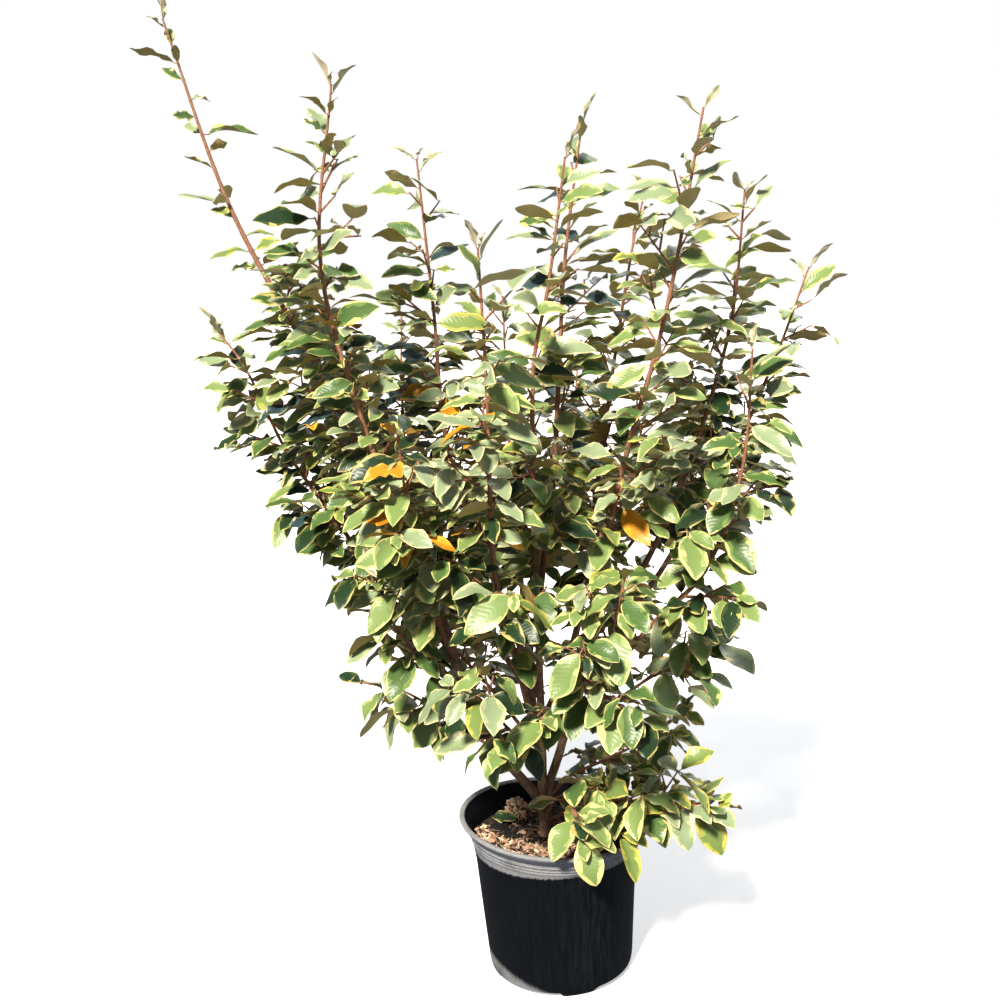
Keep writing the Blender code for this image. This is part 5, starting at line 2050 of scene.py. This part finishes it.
@dataclass
class Crown:
    """All masses of foliage, with their twigs, stalks and leaves."""

    paths: dict[str, Line]
    blade: Blade = Blade()
    broad_share: float = 0.22
    twig_sides: int = 5
    twig_ring_step: float = 0.009
    far_left_from: float = -0.29
    left_from: float = -0.20
    right_from: float = 0.17
    front_from: float = -0.09
    back_from: float = 0.16
    stalk_sides: int = 3

    def grow(self) -> list[Mass]:
        """Grow every mass by the rule of the solids, and then its finer growth.

        Returns:
            The masses.
        """
        keeper = Keeper()
        for name in ["pot", "compost", "trunk"] + ["bough_" + limb.name for limb in LIMBS]:
            mesh = frame["nodes"][name].data
            keeper.add(name, [v.co.copy() for v in mesh.vertices],
                       [tuple(p.vertices) for p in mesh.polygons])
        spaces = Spaces(self.paths)
        masses = [Mass(limb, self.paths[limb.name], keeper, spaces) for limb in LIMBS]
        for grow in (Mass.grow_stem, Mass.grow_twigs, Mass.grow_leaves, Mass.grow_fine):
            for mass in masses:
                grow(mass)
        return masses

    def zone(self, mass: Mass) -> Zone:
        """The part of the crown that a mass belongs to.

        Args:
            mass: the mass.

        Returns:
            Its zone.
        """
        middle = mass.stem.at(mass.stem.length * 0.5)[0]
        if mass.broad_edged or mass.limb.name == "droop_left":
            return Zone.RIM
        if middle.x < self.left_from:
            return Zone.FAR_LEFT if middle.x < self.far_left_from else Zone.LEFT
        if middle.x > self.right_from:
            return Zone.RIGHT
        if middle.y < self.front_from:
            return Zone.FRONT
        return Zone.BACK if middle.y > self.back_from else Zone.MIDDLE

    @staticmethod
    def tone(leaf: Leaf, mass: Mass) -> Tone:
        """The tone of a leaf, dealt out by spray with some stray leaves.

        Args:
            leaf: the leaf.
            mass: its mass.

        Returns:
            The tone.
        """
        spray = random.Random(f"{SEED}{mass.limb.name}{leaf.spray}")
        stray = random.Random(f"{mass.limb.name}{leaf.root.x:.4f}{leaf.root.z:.4f}")
        golden = mass.limb.name in GOLD_DOTTED and leaf.root.z > GOLD_ABOVE
        spotted = any((leaf.root - Vector(spot)).length < GOLD_REACH for spot in GOLD_SPOTS)
        if spotted or stray.random() < (GOLD_ODDS if golden else RARE_GOLD_ODDS):
            return Tone.OLD_GOLD
        if leaf.share > YOUNG_FROM and leaf.root.z > YOUNG_ABOVE:
            return Tone.YOUNG
        high = part_way(leaf.root.z, 0.45, 0.7)
        yellow = 4.0 if mass.broad_edged else 0.5
        # The SHADE tone, painted shade, is dealt more often low in the crown; the SKYLIT tone,
        # painted shade with a painted sky reflection, only high up away from the front and the
        # right.
        shaded = leaf.root.z > 0.80 and leaf.root.x < 0.12 and leaf.root.y > -0.06
        behind = high if shaded else 0.0
        weights = (3.2 - 1.2 * high, 2.0 - 0.6 * high, 1.2 + 2.2 * high, 1.3 - 0.7 * high,
                   1.2 * behind, yellow)
        draws = stray if stray.random() < STRAY_ODDS else spray
        return draws.choices((Tone.FRESH, Tone.DEEP, Tone.GREY, Tone.SHADE, Tone.SKYLIT,
                              Tone.YELLOWED), weights)[0]

    def build_leaves(self, masses: list[Mass]) -> None:
        """Build the leaf blades, one piece for each zone.

        Args:
            masses: the grown masses.
        """
        finish = LeafFinish()
        materials = [finish.material(tone, part) for tone in Tone for part in LeafPart]
        slot_of = {tone: number * len(LeafPart) for number, tone in enumerate(Tone)}
        loops, totals, parts = self.blade.faces()
        for zone in Zone:
            stock = Stock()
            members = [mass for mass in masses if self.zone(mass) is zone]
            for mass in members:
                chance = np.random.default_rng(random.Random(mass.limb.name).getrandbits(32))
                broad_share = 1.0 if mass.broad_edged else self.broad_share
                for leaf in mass.leaves:
                    broad = chance.random() < broad_share
                    points, places = self.blade.points(leaf, broad, chance)
                    varied = self.blade.variegate(parts, broad, chance)
                    stock.add(points, loops, totals, varied + slot_of[self.tone(leaf, mass)],
                              blade=places)
            leaves = stock.piece("leaves_" + zone.value, materials, sharp=62)
            dress(leaves, ["foliage_" + mass.limb.name for mass in members])
        log.info("leaves in all: %d", sum(len(mass.leaves) for mass in masses))

    def build_twigs(self, masses: list[Mass]) -> None:
        """Build the side twigs.

        Args:
            masses: the grown masses.
        """
        stock = Stock()
        for mass in masses:
            for number, twig in enumerate(mass.twigs):
                length = twig.path.length
                rings = max(4, round(length / self.twig_ring_step))
                stations = [length * k / rings for k in range(rings + 1)]

                def radius(distance: float, length: float = length) -> float:
                    """Tapered radius with a slight swelling at each node."""
                    swell = math.cos((distance - TWIG_FIRST_NODE) / NODE_STEP * math.tau)
                    return twig_radius(distance, length) * (1 + 0.14 * max(0.0, swell))

                verts, _ = plain_tube(twig.path, stations, radius, self.twig_sides)
                loops, totals = tube_faces(len(stations), self.twig_sides)
                points = np.array(verts)
                stock.add(points, loops, totals, skin=points * 0.5 + number,
                          age=np.zeros(len(points)))
        twigs = stock.piece("twigs", [BarkFinish().material()], sharp=80)
        dress(twigs, [])

    def build_stalks(self, masses: list[Mass]) -> None:
        """Build the stalk between each twig and its leaf.

        Args:
            masses: the grown masses.
        """
        stock = Stock()
        loops, totals = tube_faces(3, self.stalk_sides)
        for mass in masses:
            for leaf in mass.leaves:
                end = leaf.root + leaf.along * (leaf.stalk + 0.002)
                bow = leaf.root.lerp(end, 0.55) - leaf.face_up * 0.0006
                path = Line([leaf.root, bow, end])
                thick = 0.0010 * min(1.0, leaf.length / 0.075)
                verts, _ = plain_tube(path, path.marks, lambda d, r=thick: r * (1.15 - 20 * d),
                                      self.stalk_sides)
                stock.add(verts, loops, totals)
        stalks = stock.piece("leaf_stalks", [StalkFinish().material()], sharp=80)
        dress(stalks, [])

    def build_fallen_leaf(self, ground: Compost) -> None:
        """Build the dry leaf that lies on the compost.

        Args:
            ground: the compost, for its height.
        """
        spot = Vector((-0.108, 0.058, 0.0))
        spot.z = ground.height(spot.x, spot.y) + 0.006
        leaf = Leaf(spot, Vector((0.92, -0.38, 0.03)).normalized(),
                    Vector((0.05, -0.25, 0.96)).normalized(), 0.052, 0.004, 0.5, 0)
        loops, totals, parts = self.blade.faces()
        points, places = self.blade.points(leaf, False, np.random.default_rng(7))
        stock = Stock()
        stock.add(points, loops, totals, parts, blade=places)
        finish = LeafFinish()
        # The fallen leaf takes the dark SHADE tone: painted shade, as it lies under the crown.
        fallen = stock.piece("fallen_leaf", [finish.material(Tone.SHADE, part)
                                             for part in LeafPart], sharp=62)
        dress(fallen, [])

    def build(self, ground: Compost) -> None:
        """Grow and build the whole crown.

        Args:
            ground: the compost, which carries the fallen leaf.
        """
        masses = self.grow()
        self.build_leaves(masses)
        self.build_twigs(masses)
        self.build_stalks(masses)
        self.build_fallen_leaf(ground)


# Studio


@dataclass
class Studio:
    """Pale floor, soft light and the photograph's camera."""

    floor_radius: float = 40.0
    sun_strength: float = 7.5
    sun_spread: float = math.radians(8.0)
    fills: tuple = (((2.4, -1.6, 1.7), 10.0), ((1.3, 2.7, 2.3), 45.0))
    fill_size: float = 2.2
    aim: float = 0.8
    sky: str = "#e2ecfa"
    sky_strength: float = 0.34

    def build_floor(self) -> None:
        """A wide round sheet of paper under the pot."""
        count = 64
        angle = math.tau * np.arange(count) / count
        points = np.stack((np.cos(angle), np.sin(angle), np.zeros(count)), 1) * self.floor_radius
        mesh = bpy.data.meshes.new("studio_floor")
        mesh.from_pydata(points.tolist(), [], [tuple(range(count))])
        mesh.materials.append(PaperSweep().material())
        floor = placed("studio_floor", mesh)
        floor.visible_diffuse = False
        floor.visible_glossy = False

    def build_lights(self) -> None:
        """A key from the front left, broad fills from the right and behind, a pale sky."""
        key = bpy.data.lights.new("key", "SUN")
        key.energy = self.sun_strength
        key.angle = self.sun_spread
        key.color = linear("#fff6e6")[:3]
        lamp = placed("key", key)
        lamp.rotation_mode = "QUATERNION"
        lamp.rotation_quaternion = LIGHT_FROM.to_track_quat("Z", "Y")
        for place, power in self.fills:
            fill = bpy.data.lights.new("fill", "AREA")
            fill.energy = power
            fill.size = self.fill_size
            lamp = placed("fill", fill)
            lamp.location = place
            lamp.rotation_mode = "QUATERNION"
            lamp.rotation_quaternion = (Vector(place) - UP * self.aim).to_track_quat("Z", "Y")
        world = bpy.data.worlds.new("studio_sky")
        world.use_nodes = True
        tree = world.node_tree
        back = tree.nodes["Background"]
        set_inputs(back, {"Color": linear(self.sky), "Strength": self.sky_strength})
        white = add_node(tree, "Background", inputs={"Color": linear("#ffffff")})
        seen = add_node(tree, "LightPath")
        both = add_node(tree, "MixShader", inputs={
            0: seen.outputs["Is Camera Ray"], 1: back, 2: white})
        set_inputs(tree.nodes["World Output"], {"Surface": both})
        bpy.context.scene.world = world

    def build_camera(self) -> None:
        """The camera of the photograph, which also rolls a little."""
        camera = bpy.data.cameras.new("camera")
        camera.lens = CAMERA_LENS
        camera.sensor_width = 36.0
        ahead = Vector((0, math.cos(CAMERA_DIP), -math.sin(CAMERA_DIP)))
        level_up = Vector((0, math.sin(CAMERA_DIP), math.cos(CAMERA_DIP)))
        level_right = Vector((1, 0, 0))
        right = level_right * math.cos(CAMERA_ROLL) - level_up * math.sin(CAMERA_ROLL)
        up = level_right * math.sin(CAMERA_ROLL) + level_up * math.cos(CAMERA_ROLL)
        thing = placed("camera", camera)
        thing.matrix_world = Matrix.Translation(CAMERA_PLACE) @ Matrix(
            (right, up, -ahead)).transposed().to_4x4()
        bpy.context.scene.camera = thing

    def build(self) -> None:
        """Set up floor, lights and camera."""
        self.build_floor()
        self.build_lights()
        self.build_camera()
        bpy.context.scene.view_settings.view_transform = "Standard"


def main() -> None:
    """Build the studio and the plant, and log the triangles of each piece."""
    logging.basicConfig(level=logging.INFO, format="%(name)s: %(message)s")
    Studio().build()
    NurseryPot().build()
    compost = Compost()
    compost.build_ground()
    compost.build_chips()
    paths = limb_paths()
    Wood(paths).build()
    Crown(paths).build(compost)


if __name__ == "__main__":
    main()
